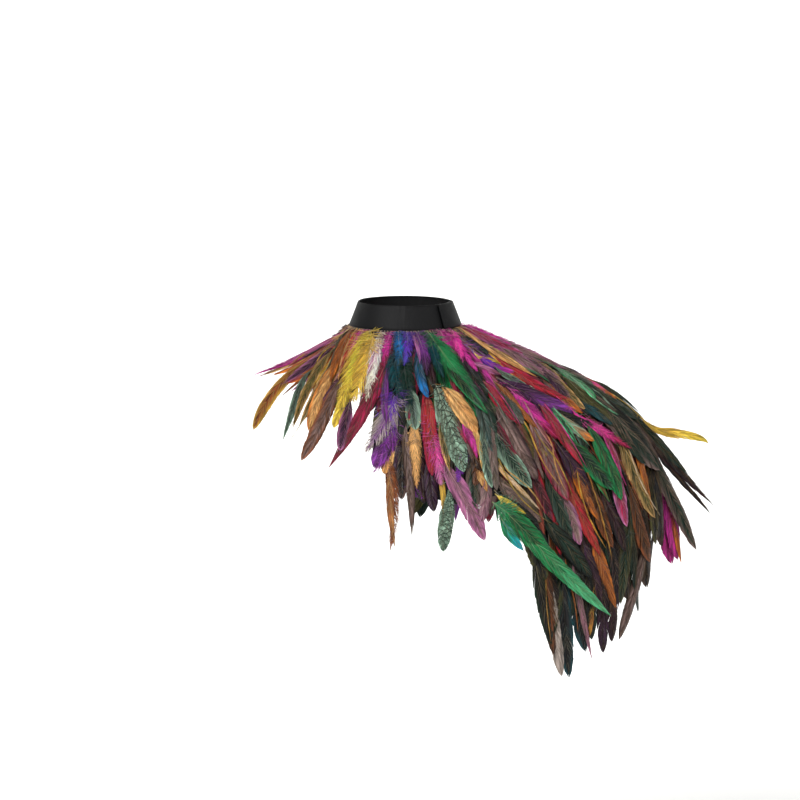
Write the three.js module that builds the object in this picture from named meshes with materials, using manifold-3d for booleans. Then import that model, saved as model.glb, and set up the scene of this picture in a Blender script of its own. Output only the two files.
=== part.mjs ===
// Feather shawl collar: a black ribbon neckband with rows of dyed feathers that hang round the neck
// and in three tiers over one shoulder.
// Millimetres, +Z up. The front faces -Y and the long shoulder is towards +X. The origin is on the
// neck's axis at the band's lower edge. Azimuth is in degrees round the neck: 0 at the front, 90 at
// the long shoulder, 180 at the back.
import * as THREE from "three";
import { mergeVertices } from "three/addons/utils/BufferGeometryUtils.js";
import Module from "manifold-3d";

const wasm = await Module();
wasm.setup();
const { clamp, degToRad, lerp, radToDeg, smoothstep } = THREE.MathUtils;

// Neckband: a ribbon that flares from its upper edge to its lower edge
const BAND_HEIGHT = 24.5;
const BAND_WALL = 1.6;
const BAND_TILT_DEG = 8;
const BAND_LOWER = { halfWidth: 57, halfDepth: 62 };
const BAND_UPPER = { halfWidth: 47.5, halfDepth: 53 };
const BAND_SEGMENTS = 72;
const LAP_FREE_END_DEG = 44;
const LAP_LENGTH_DEG = 40;
const LAP_EASE_DEG = 30;

// Hook-and-loop pad between the lapped ends
const PAD_THICKNESS = 0.9;
const PAD_MARGIN_DEG = 6;
const PAD_RISE = { from: 0.2, to: 0.8 };
const PIECE_GAP = 0.3;

// Draped surface: its slope below level, in degrees, at stations along it from the band
const STATIONS = [0, 30, 90, 160, 240, 320, 440];
const DRAPE = [
  { azimuth: -180, slopes: [62, 64, 72, 80, 86, 88, 90] },
  { azimuth: -135, slopes: [56, 50, 50, 60, 75, 80, 85] },
  { azimuth: -90, slopes: [52, 33, 19, 17, 40, 70, 80] },
  { azimuth: -45, slopes: [58, 50, 44, 50, 62, 72, 80] },
  { azimuth: 0, slopes: [62, 60, 65, 70, 76, 82, 86] },
  { azimuth: 45, slopes: [56, 40, 50, 66, 84, 90, 92] },
  { azimuth: 90, slopes: [48, 26, 26, 34, 66, 96, 103] },
  { azimuth: 135, slopes: [56, 40, 50, 68, 86, 92, 95] },
  { azimuth: 180, slopes: [62, 64, 72, 80, 86, 88, 90] },
];
const DRAPE_STEP = 5;
const LONGEST_REACH = 520;
const OUTLINE_DEG = 89;
const BISECTIONS = 22;

// Cloth yoke under the shoulder tiers
const BACKING = { from: -16, to: 176, top: 1.5, hem: 202, frontHem: 137, wall: 1.3 };
const BACKING_ROWS = { count: 10, closerAtTop: 1.35 };
const HEM_EASE_DEG = 40;
const UNDER_NECK_TAPE = { drop: 1.8, from: 10, to: 24 };

// Heading tape that each row's feathers are fused to. It is bent at the same azimuths as the yoke.
const FOLD_STEP_DEG = 8;
const TAPE = { width: 8, thickness: 2.6, lift: 0.45, endGap: 0.5 };
const NECK_TAPE_RISE = { from: 4, to: 14 };

// A feather is a leaf-shaped blade with a flat underside and a ridge along its quill
const BLADE = { segments: 5, closerAtRoot: 1.4, lookAhead: 0.01 };
const BLADE_HEIGHTS = { onTape: 1.3, rise: 0.7, ridge: 1, underside: 0.6 };
const BLADE_SHARE = { root: 0.34, tip: 0.1 };
const WIDEST_AT = 0.58;
const LENGTH_SPREAD = { least: 0.86, most: 1.06 };
const SINGLE_INSET_DEG = 3;
const STANDS_OFF_POWER = 1.2;
const STAGGER = 0.9;
const RISE_EASE = 18;
const WELD = 0.03;
const SLIVER_VOLUME = 1;

// Rows lie in layers, and an upper row rises over each heading that it passes
const HALF_LAYER = 3.8;
const LAYER = 2 * HALF_LAYER;
const RISE_BEFORE_HEADING = { start: 52, end: 18 };
const RISE_ROUND_ENDS_DEG = { start: 16, end: 4 };
const OVER_EASE = 26;

// Rows of feathers. Tier 0 hangs from the band, and the others from the yoke. A row with over 1
// lies half a layer above the neighbour that it meets. Length runs from the front's to the side's.
const ROWS = [
  { name: "neck_row_short_side", tier: 0, from: -152, to: -32, count: 12, front: 118, side: 104,
    width: 14, over: 0, colour: "#a8612c" },
  { name: "neck_row_front", tier: 0, from: -32, to: 40, count: 7, front: 112, side: 118,
    width: 15, over: 1, colour: "#6b2a90" },
  { name: "neck_row_shoulder_side", tier: 0, from: 40, to: 144, count: 11, front: 120, side: 150,
    width: 17, over: 0, colour: "#b0207f" },
  { name: "neck_row_back", tier: 0, from: 144, to: 208, count: 7, front: 120, side: 124,
    width: 16, over: 1, colour: "#8e1f3a" },
  { name: "upper_tier_front", tier: 1, from: -16, to: 88, count: 8, front: 92, side: 165,
    width: 17, over: 1, colour: "#0f7a3c" },
  { name: "upper_tier_back", tier: 1, from: 88, to: 168, count: 8, front: 125, side: 165,
    width: 18, over: 0, colour: "#1a5c60" },
  { name: "middle_tier_front", tier: 2, from: -16, to: 88, count: 8, front: 96, side: 180,
    width: 18, over: 1, colour: "#b0608c" },
  { name: "middle_tier_back", tier: 2, from: 88, to: 168, count: 8, front: 120, side: 180,
    width: 19, over: 0, colour: "#6e5a52" },
  { name: "lower_tier_front", tier: 3, from: 48, to: 88, count: 4, front: 160, side: 190,
    width: 19, over: 1, colour: "#1f4a35" },
  { name: "lower_tier_back", tier: 3, from: 88, to: 128, count: 6, front: 160, side: 190,
    width: 19, over: 0, colour: "#2a2320" },
];
const HEADINGS = [5.5, 66, 128, 190];

// Single feathers that stand out from their row, by root and tip as seen from the front
const VIEW = { distance: 2600, centreX: -4, centreZ: -80 };
const SINGLE_COLUMNS = ["row", "rootX", "rootZ", "tipX", "tipZ", "width"];
const SINGLES = [
  ["neck_row_short_side", -65, -9, -159, -54, 9],
  ["neck_row_short_side", -104, -38, -159, -110, 11],
  ["neck_row_short_side", -65, -15, -129, -139, 11],
  ["neck_row_short_side", -80, -78, -108, -144, 12],
  ["neck_row_short_side", -37, -9, -77, -105, 26],
  ["neck_row_front", -24, -9, -38, -80, 13],
  ["neck_row_front", -17, -12, -80, -152, 15],
  ["neck_row_front", 23, -9, 78, -75, 24],
  ["neck_row_shoulder_side", 60, -1, 141, -56, 12],
  ["neck_row_shoulder_side", 110, -47, 183, -92, 12],
  ["upper_tier_front", -18, -74, -36, -154, 18],
  ["upper_tier_front", 24, -86, 29, -156, 13],
  ["upper_tier_front", 40, -75, 62, -146, 15],
  ["upper_tier_front", 47, -70, 72, -110, 16],
  ["upper_tier_front", 108, -62, 185, -95, 14],
  ["upper_tier_front", 79, -80, 91, -169, 12],
  ["middle_tier_front", -18, -135, -15, -238, 13],
  ["middle_tier_front", 0, -132, 8, -225, 9],
  ["middle_tier_front", 44, -150, 85, -226, 17],
  ["middle_tier_front", 47, -190, 41, -238, 13],
  ["middle_tier_front", 197, -105, 231, -212, 17],
  ["upper_tier_front", 209, -85, 308, -237, 17],
  ["upper_tier_front", 263, -111, 325, -126, 9],
  ["upper_tier_front", 272, -129, 325, -190, 12],
  ["middle_tier_front", 275, -183, 279, -251, 11],
  ["lower_tier_front", 101, -192, 217, -308, 17],
  ["lower_tier_front", 98, -180, 126, -237, 14],
  ["lower_tier_front", 149, -241, 167, -371, 14],
  ["lower_tier_front", 141, -254, 155, -336, 12],
  ["lower_tier_front", 180, -272, 197, -351, 11],
  ["lower_tier_front", 209, -290, 209, -344, 12],
  ["lower_tier_front", 250, -241, 226, -330, 14],
];

const RIBBON_ROUGHNESS = 0.6;
const CLOTH_ROUGHNESS = 0.9;
const FEATHER_ROUGHNESS = 0.5;

// A repeatable spread of values in 0..1, so that neighbouring feathers differ
const GOLDEN_STEP = 0.6180339887;
const spread = (index, salt) => (index * GOLDEN_STEP + salt * GOLDEN_STEP * GOLDEN_STEP) % 1;

// The slope of the draped surface, in radians, eased between the azimuths of the table
function slopeAt(azimuth, reach) {
  const turned = ((azimuth + 180) % 360 + 360) % 360 - 180;
  const next = clamp(DRAPE.findIndex((row) => row.azimuth > turned), 1, DRAPE.length - 1);
  const [a, b] = [DRAPE[next - 1], DRAPE[next]];
  const across = smoothstep(turned, a.azimuth, b.azimuth);
  const after = STATIONS.findIndex((station) => station > reach);
  const j = after < 0 ? STATIONS.length - 1 : Math.max(after, 1);
  const along = clamp((reach - STATIONS[j - 1]) / (STATIONS[j] - STATIONS[j - 1]), 0, 1);
  const slope = (row) => lerp(row.slopes[j - 1], row.slopes[j], along);
  return degToRad(lerp(slope(a), slope(b), across));
}

// How far the draped surface runs out and drops over a reach from the band
function runAndDrop(azimuth, reach) {
  const steps = Math.max(1, Math.ceil(reach / DRAPE_STEP));
  const step = reach / steps;
  let run = 0;
  let drop = 0;
  for (let i = 0; i < steps; i += 1) {
    const slope = slopeAt(azimuth, (i + 0.5) * step);
    run += Math.cos(slope) * step;
    drop += Math.sin(slope) * step;
  }
  return { run, drop };
}

// A point on the draped surface, lifted along its normal and stood off it sideways
function drapePoint(azimuth, reach, lift, standOff = 0) {
  const { run, drop } = runAndDrop(azimuth, reach);
  const slope = slopeAt(azimuth, reach);
  const out = run + lift * Math.sin(slope) + standOff;
  const angle = degToRad(azimuth);
  const edge = -BAND_LOWER.halfDepth * Math.cos(angle) * Math.tan(degToRad(BAND_TILT_DEG));
  return new THREE.Vector3(
    (BAND_LOWER.halfWidth + out) * Math.sin(angle),
    -(BAND_LOWER.halfDepth + out) * Math.cos(angle),
    edge - drop + lift * Math.cos(slope),
  );
}

// A point on the neckband's wall: rise runs 0..1 from its lower edge to its upper edge
function bandPoint(azimuth, rise, out) {
  const angle = degToRad(azimuth);
  const tilt = degToRad(BAND_TILT_DEG);
  const halfWidth = lerp(BAND_LOWER.halfWidth, BAND_UPPER.halfWidth, rise) + out;
  const halfDepth = lerp(BAND_LOWER.halfDepth, BAND_UPPER.halfDepth, rise) + out;
  const y = -halfDepth * Math.cos(angle);
  const up = rise * BAND_HEIGHT;
  return new THREE.Vector3(
    halfWidth * Math.sin(angle),
    y - up * Math.sin(tilt),
    y * Math.tan(tilt) + up * Math.cos(tilt),
  );
}

// Moves every vertex of a geometry through a function, and keeps only its merged positions
function bend(geometry, place) {
  const bent = geometry.clone();
  bent.deleteAttribute("normal");
  bent.deleteAttribute("uv");
  const position = bent.getAttribute("position");
  const from = new THREE.Vector3();
  for (let i = 0; i < position.count; i += 1) {
    from.fromBufferAttribute(position, i);
    position.setXYZ(i, ...place(from).toArray());
  }
  return mergeVertices(bent);
}

function toSolid(geometry) {
  return new wasm.Manifold(
    new wasm.Mesh({
      numProp: 3,
      vertProperties: geometry.getAttribute("position").array,
      triVerts: new Uint32Array(geometry.index.array),
    }),
  );
}

function toGeometry(solid) {
  const mesh = solid.getMesh();
  const geometry = new THREE.BufferGeometry();
  geometry.setAttribute("position", new THREE.BufferAttribute(mesh.vertProperties, 3));
  geometry.setIndex(new THREE.BufferAttribute(mesh.triVerts, 1));
  return geometry;
}

// The height of a row's feathers above the draped surface
function layerHeight(row, azimuth, reach) {
  let height = row.over * HALF_LAYER * smoothstep(reach - HEADINGS[row.tier], 0, OVER_EASE);
  for (let tier = row.tier + 1; tier < HEADINGS.length; tier += 1) {
    const heading = HEADINGS[tier];
    const [first, last] = tierSpan(tier);
    const passed = smoothstep(
      reach, heading - RISE_BEFORE_HEADING.start, heading - RISE_BEFORE_HEADING.end);
    const inside = smoothstep(
      azimuth, first - RISE_ROUND_ENDS_DEG.start, first - RISE_ROUND_ENDS_DEG.end)
      * (1 - smoothstep(
        azimuth, last + RISE_ROUND_ENDS_DEG.end, last + RISE_ROUND_ENDS_DEG.start));
    height += LAYER * passed * inside;
  }
  const leftTape = row.tier ? 1 : smoothstep(reach, NECK_TAPE_RISE.from, NECK_TAPE_RISE.to);
  return height + BLADE_HEIGHTS.onTape * leftTape;
}

function tierSpan(tier) {
  const rows = ROWS.filter((row) => row.tier === tier);
  return [Math.min(...rows.map((row) => row.from)), Math.max(...rows.map((row) => row.to))];
}

// The azimuth and reach of the place on a row that is seen from the front at x, z. Past the outline
// of the surface, overhang says how far the place stands off it.
function seenFromFront(row, x, z) {
  const side = Math.sign(x) || 1;
  const view = (azimuth, reach) => {
    const point = drapePoint(azimuth, reach, layerHeight(row, azimuth, reach));
    const scale = VIEW.distance / (VIEW.distance + point.y);
    return {
      x: VIEW.centreX + (point.x - VIEW.centreX) * scale,
      z: VIEW.centreZ + (point.z - VIEW.centreZ) * scale,
    };
  };
  const bisect = (low, high, isShort) => {
    for (let i = 0; i < BISECTIONS; i += 1) {
      const middle = (low + high) / 2;
      if (isShort(middle)) low = middle;
      else high = middle;
    }
    return (low + high) / 2;
  };
  const reachTo = (azimuth) => bisect(0, LONGEST_REACH, (reach) => view(azimuth, reach).z > z);
  const sideways = (turn) => side * view(side * turn, reachTo(side * turn)).x;
  const azimuth = side * bisect(0, OUTLINE_DEG, (turn) => sideways(turn) < side * x);
  const reach = reachTo(azimuth);
  const overhang = Math.max(0, side * (x - view(azimuth, reach).x));
  return { azimuth, reach, overhang };
}

// The half width of a blade along its length, as a share of its widest
function bladeShare(t) {
  const grow = smoothstep(t, 0, WIDEST_AT);
  const fall = 1 - smoothstep(t, WIDEST_AT, 1);
  return t < WIDEST_AT ? lerp(BLADE_SHARE.root, 1, grow) : lerp(BLADE_SHARE.tip, 1, fall);
}

// A feather blade along a path of azimuth, reach, lift and stand-off on its row
function blade(row, path, width) {
  const flatShare = Math.cos(Math.PI / 6);
  const shape = new THREE.CylinderGeometry(1, 1, 1, 3, BLADE.segments);
  return toSolid(bend(shape, ({ x, y, z }) => {
    const t = (y + 0.5) ** BLADE.closerAtRoot;
    const here = path(t);
    const ahead = path(t + BLADE.lookAhead);
    const radius = BAND_LOWER.halfWidth + runAndDrop(here.azimuth, here.reach).run;
    const turn = degToRad(ahead.azimuth - here.azimuth) * radius;
    const advance = ahead.reach - here.reach;
    const stride = Math.hypot(turn, advance);
    const sideways = (-x / flatShare) * (width / 2) * bladeShare(t);
    const thickness = z > 0 ? BLADE_HEIGHTS.ridge : -BLADE_HEIGHTS.underside;
    const azimuth = here.azimuth + radToDeg((sideways * advance) / stride / radius);
    const reach = here.reach - (sideways * turn) / stride;
    const lift = layerHeight(row, azimuth, reach) + here.lift + thickness;
    return drapePoint(azimuth, reach, lift, here.standOff);
  }));
}

// The heading tape of a row
function tape(row) {
  const span = row.to - row.from;
  const edge = Math.max(...[row.from, row.to].map((azimuth) => radToDeg(
    TAPE.endGap / (BAND_LOWER.halfWidth + runAndDrop(azimuth, HEADINGS[row.tier]).run))));
  const lift = row.tier ? TAPE.lift : -TAPE.thickness / 2;
  const shape = new THREE.BoxGeometry(1, 1, 1, span / FOLD_STEP_DEG, 1, 1);
  return toSolid(bend(shape, ({ x, y, z }) => drapePoint(
    clamp(lerp(row.from, row.to, 0.5 - x), row.from + edge, row.to - edge),
    HEADINGS[row.tier] + y * TAPE.width,
    lift + (z + 0.5) * TAPE.thickness,
  )));
}

// The feathers that fill a row evenly
function rowBlades(row) {
  const share = (row.to - row.from) / row.count;
  return Array.from({ length: row.count }, (_, i) => {
    const azimuth = row.from + share * (i + 0.5);
    const sideways = Math.sin(degToRad(azimuth)) ** 2;
    const longer = lerp(LENGTH_SPREAD.least, LENGTH_SPREAD.most, spread(i, row.tier));
    const length = lerp(row.front, row.side, sideways) * longer;
    const rise = BLADE_HEIGHTS.rise + STAGGER * (i % 2);
    const path = (t) => ({
      azimuth,
      reach: HEADINGS[row.tier] + length * t,
      lift: rise * smoothstep(length * t, 0, RISE_EASE),
      standOff: 0,
    });
    return blade(row, path, row.width);
  });
}

// The feathers that stand out from a row
function singleBlades(row) {
  const ofRow = SINGLES.map((values) => Object.fromEntries(
    SINGLE_COLUMNS.map((column, i) => [column, values[i]]))).filter((s) => s.row === row.name);
  return ofRow.map((single, i) => {
    const root = seenFromFront(row, single.rootX, single.rootZ);
    const tip = seenFromFront(row, single.tipX, single.tipZ);
    const heading = HEADINGS[row.tier];
    const start = Math.max(root.reach, heading);
    const sewnAt = clamp(root.azimuth, row.from + SINGLE_INSET_DEG, row.to - SINGLE_INSET_DEG);
    const rise = BLADE_HEIGHTS.rise + STAGGER * (i % 2);
    const path = (t) => {
      const reach = lerp(heading, tip.reach, t);
      const along = Math.max(0, (reach - start) / Math.max(tip.reach - start, 1));
      return {
        azimuth: lerp(sewnAt, tip.azimuth, along),
        reach,
        lift: rise * smoothstep(reach - heading, 0, RISE_EASE),
        standOff: tip.overhang * along ** STANDS_OFF_POWER,
      };
    };
    return blade(row, path, single.width);
  });
}

// The joined row's outer shell, so that the pockets that crossing blades close off are filled
function featherRow(row) {
  const outerShell = (solid) => {
    const shells = solid.decompose().filter((shell) => shell.volume() > SLIVER_VOLUME);
    if (shells.length !== 1) throw new Error(`${row.name} has a loose feather`);
    return shells[0];
  };
  const joined = [...rowBlades(row), ...singleBlades(row)].reduce(
    (whole, next) => whole.add(next), tape(row));
  const welded = mergeVertices(toGeometry(outerShell(joined)), WELD);
  return toGeometry(outerShell(toSolid(welded)));
}

// The ribbon runs from its free end once round the neck and on under the lap
function neckBand() {
  const shape = new THREE.BoxGeometry(1, 1, 1, BAND_SEGMENTS, 1, 1);
  const lapOut = BAND_WALL + PAD_THICKNESS + 2 * PIECE_GAP;
  return bend(shape, ({ x, y, z }) => {
    const turned = (0.5 - x) * (360 + LAP_LENGTH_DEG);
    const lapped = 1 - smoothstep(turned, LAP_LENGTH_DEG, LAP_LENGTH_DEG + LAP_EASE_DEG);
    return bandPoint(LAP_FREE_END_DEG + turned, z + 0.5, lapOut * lapped + y * BAND_WALL);
  });
}

function bandFastener() {
  const shape = new THREE.BoxGeometry(1, 1, 1, 8, 1, 1);
  const middle = (BAND_WALL + PAD_THICKNESS) / 2 + PIECE_GAP;
  const from = LAP_FREE_END_DEG + PAD_MARGIN_DEG;
  const to = LAP_FREE_END_DEG + LAP_LENGTH_DEG - PAD_MARGIN_DEG;
  return bend(shape, ({ x, y, z }) => bandPoint(
    lerp(to, from, x + 0.5),
    lerp(PAD_RISE.from, PAD_RISE.to, z + 0.5),
    middle + y * PAD_THICKNESS,
  ));
}

// The yoke is shorter at the front, where its feathers are
function shoulderBacking() {
  const round = (BACKING.to - BACKING.from) / FOLD_STEP_DEG;
  const shape = new THREE.BoxGeometry(1, 1, 1, round, BACKING_ROWS.count, 1);
  return bend(shape, ({ x, y, z }) => {
    const azimuth = lerp(BACKING.from, BACKING.to, 0.5 - x);
    const hem = lerp(
      BACKING.frontHem, BACKING.hem, smoothstep(azimuth - BACKING.from, 0, HEM_EASE_DEG));
    const reach = lerp(BACKING.top, hem, (y + 0.5) ** BACKING_ROWS.closerAtTop);
    const under = 1 - smoothstep(reach, UNDER_NECK_TAPE.from, UNDER_NECK_TAPE.to);
    return drapePoint(azimuth, reach, (z - 0.5) * BACKING.wall - UNDER_NECK_TAPE.drop * under);
  });
}

function addPiece(group, name, geometry, colour, roughness) {
  const material = new THREE.MeshStandardMaterial({ color: colour, roughness, metalness: 0 });
  geometry.computeVertexNormals();
  const mesh = new THREE.Mesh(geometry, material);
  mesh.name = name;
  group.add(mesh);
}

const collar = new THREE.Group();
addPiece(collar, "neck_band", neckBand(), "#2c2c2f", RIBBON_ROUGHNESS);
addPiece(collar, "band_fastener", bandFastener(), "#18181a", CLOTH_ROUGHNESS);
addPiece(collar, "shoulder_backing", shoulderBacking(), "#1c1c1f", CLOTH_ROUGHNESS);
for (const row of ROWS) {
  addPiece(collar, row.name, featherRow(row), row.colour, FEATHER_ROUGHNESS);
}

export default collar;
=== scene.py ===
"""Dresses the feather shawl collar: ribbon neckband, cloth yoke and rows of barbed, dyed feathers.

Sizes are in millimetres until a mesh is made, and +Z is up. The front faces -Y, and the long shoulder
is towards +X. Azimuth is in degrees round the neck, 0 at the front and 90 at the long shoulder. Reach is
the distance along the draped surface from the band's lower edge, and lift is the height above it.
"""
import math
from collections import namedtuple

import bpy
import numpy as np
from bpy.props import FloatProperty, FloatVectorProperty, PointerProperty
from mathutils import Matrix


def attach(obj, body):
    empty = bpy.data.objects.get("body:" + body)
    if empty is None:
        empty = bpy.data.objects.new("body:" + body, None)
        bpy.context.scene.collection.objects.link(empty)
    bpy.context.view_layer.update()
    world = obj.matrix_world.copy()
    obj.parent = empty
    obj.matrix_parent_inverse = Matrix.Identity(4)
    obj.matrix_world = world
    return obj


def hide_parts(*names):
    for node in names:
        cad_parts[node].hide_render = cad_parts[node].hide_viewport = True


bl_info = {
    "name": "Feather shawl collar",
    "version": (1, 0, 0),
    "blender": (4, 5, 0),
    "location": "View3D > Sidebar > Collar",
    "description": "Ribbon neckband and rows of dyed feathers for one shoulder",
    "category": "Object",
}

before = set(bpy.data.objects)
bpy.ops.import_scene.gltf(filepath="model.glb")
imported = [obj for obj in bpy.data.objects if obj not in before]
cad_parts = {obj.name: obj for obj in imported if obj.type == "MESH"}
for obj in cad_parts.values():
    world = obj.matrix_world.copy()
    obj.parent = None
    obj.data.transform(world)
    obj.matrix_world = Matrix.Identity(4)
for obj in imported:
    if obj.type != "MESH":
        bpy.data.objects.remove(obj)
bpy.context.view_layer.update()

MM = 0.001
TINY = 1e-6

# Neckband, as in the part's source
BAND_HEIGHT = 24.5
BAND_TILT = math.radians(8)
BAND_LOWER = {"half_width": 57, "half_depth": 62}
BAND_UPPER = {"half_width": 47.5, "half_depth": 53}
LAP_FREE_END = 44
LAP_LENGTH = 40
LAP_EASE = 30
LAP_OUT = 3.1
BAND_GRID = {"columns": 180, "rows": 8}
BAND_EDGE = 0.35
# The crease and the swell beside it at the front: their azimuth and half width in degrees, and their rise
CREASE = {"azimuth": -3, "half_width": 1.6, "rise": (0.3, 0.8)}
SWELL = {"azimuth": 1, "half_width": 2.5, "rise": (0.2, 0.7), "share": 0.6}
RIPPLE = {"depth": 0.25, "count": 9, "slant": 2}

# Draped surface, as in the part's source: slopes below level, in degrees, at stations along it
DRAPE_STATIONS = (0, 30, 90, 160, 240, 320, 440)
DRAPE_SLOPES = {
    -180: (62, 64, 72, 80, 86, 88, 90),
    -135: (56, 50, 50, 60, 75, 80, 85),
    -90: (52, 33, 19, 17, 40, 70, 80),
    -45: (58, 50, 44, 50, 62, 72, 80),
    0: (62, 60, 65, 70, 76, 82, 86),
    45: (56, 40, 50, 66, 84, 90, 92),
    90: (48, 26, 26, 34, 66, 96, 103),
    135: (56, 40, 50, 68, 86, 92, 95),
    180: (62, 64, 72, 80, 86, 88, 90),
}

# Cloth yoke, as in the part's source
YOKE = {"start": -16, "end": 176, "top": 1.5, "hem": 202, "front_hem": 137, "wall": 1.3}
YOKE_HEM_EASE = 40
YOKE_GRID = {"columns": 96, "rows": 32}
YOKE_EDGE = 0.3
YOKE_BLACK = "#1b1b1e"
HEM_FOLD = {"depth": 0.5, "start": 7, "end": 5}
UNDER_NECK_TAPE = {"drop": 1.8, "start": 10, "end": 24}

# Layers of the rows, as in the part's source but for the half layer: feathers lie closer than solids do
HEADINGS = (5.5, 66, 128, 190)
TAPE = {"width": 8, "thickness": 2.6, "lift": 0.45, "end_gap": 0.6, "step": 4}
TAPE_BLACK = "#151517"
BEHIND_RIBBON = {"rise": 0.1, "near": 1.0, "far": 2.2}
HALF_LAYER = 2.2
RISE_BEFORE_HEADING = {"start": 52, "end": 18}
RISE_ROUND_ENDS = {"start": 16, "end": 4}
OVER_EASE = 26
# How far round its tips and its ends a row still covers the rows below it
COVER_ENDS = {"start": 34, "end": 6}
COVER_SIDES = {"inside": 2, "outside": 8}
BLADE_HEIGHT = 2.0
# Shortest and longest of the feathers that stand for the source's blades, as shares of the row's length
LENGTH_SPREAD = (0.86, 1.06)

# The front view that the feather chart is read in. A chart unit is CHART_SCALE millimetres, CHART_NECK is
# where the origin lies on the chart, and OUTLINE_TURN the azimuth of the outline at each side.
VIEW_DISTANCE = 2600
VIEW_CENTRE = {"x": -4.2, "z": -79.8}
CHART_SCALE = 1.05
CHART_NECK = {"across": 404, "down": 324}
CHART_LIFT = 8
OUTLINE_TURN = 89
TURN_STEP = 0.5

# Dyes, by name
DYES = {
    "magenta": "#c02c92",
    "hot_pink": "#d23a92",
    "mauve_pink": "#b46a96",
    "crimson": "#94193e",
    "red": "#ad192b",
    "maroon": "#300e1a",
    "orange": "#c9701f",
    "rust": "#8a4a22",
    "tan": "#d8a868",
    "gold": "#d3a840",
    "yellow": "#ecd04a",
    "cream": "#f2ead8",
    "olive": "#4d4a22",
    "emerald": "#0f7a40",
    "bright_green": "#5cc68a",
    "bottle_green": "#0b281a",
    "mint": "#93b39b",
    "teal": "#0f4148",
    "turquoise": "#1fa6b8",
    "blue": "#1166a6",
    "violet": "#6029a8",
    "purple": "#782e8a",
    "plum": "#33162f",
    "taupe": "#78605a",
    "grey_green": "#3a4a41",
    "grey": "#b0a49a",
    "brown": "#3a2416",
    "black": "#0e0c0d",
}
GLOSSY = ("bottle_green", "teal", "taupe", "grey_green", "brown", "black", "plum", "maroon", "olive")

# Rows of feathers. The columns up to over are as in the part's source; fill is the number of feathers
# between those of the source, from the azimuth even on, and dyes the colours that they take in turn.
# Before that azimuth the feathers are the charted ones.
Row = namedtuple("Row", "name tier start end count front side width over fill even dyes")
ROWS = [
    Row("neck_row_short_side", 0, -152, -32, 12, 118, 104, 14, 0, 24, -152,
        "olive tan magenta brown orange bottle_green maroon gold crimson mauve_pink"),
    Row("neck_row_front", 0, -32, 40, 7, 112, 118, 15, 1, 14, -32,
        "crimson plum teal bottle_green maroon emerald purple bottle_green rust"),
    Row("neck_row_shoulder_side", 0, 40, 144, 11, 120, 150, 17, 0, 26, 40,
        "magenta bottle_green red purple maroon emerald gold crimson olive teal"),
    Row("neck_row_back", 0, 144, 208, 7, 120, 124, 16, 1, 16, 144,
        "crimson bottle_green purple tan teal magenta olive"),
    Row("upper_tier_front", 1, -16, 88, 8, 92, 165, 17, 1, 26, -14,
        "bottle_green taupe crimson emerald grey_green black maroon olive black"),
    Row("upper_tier_back", 1, 88, 168, 8, 125, 165, 18, 0, 28, 88,
        "teal bottle_green magenta olive crimson taupe purple"),
    Row("middle_tier_front", 2, -16, 88, 8, 96, 180, 18, 1, 26, 32,
        "black bottle_green olive maroon red emerald black rust crimson"),
    Row("middle_tier_back", 2, 88, 168, 8, 120, 180, 19, 0, 30, 88,
        "taupe bottle_green brown crimson olive purple black"),
    Row("lower_tier_front", 3, 48, 88, 4, 160, 190, 19, 1, 20, 48,
        "bottle_green black olive black bottle_green rust plum"),
    Row("lower_tier_back", 3, 88, 128, 6, 160, 190, 19, 0, 20, 88,
        "black bottle_green brown olive bottle_green plum"),
]

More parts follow.
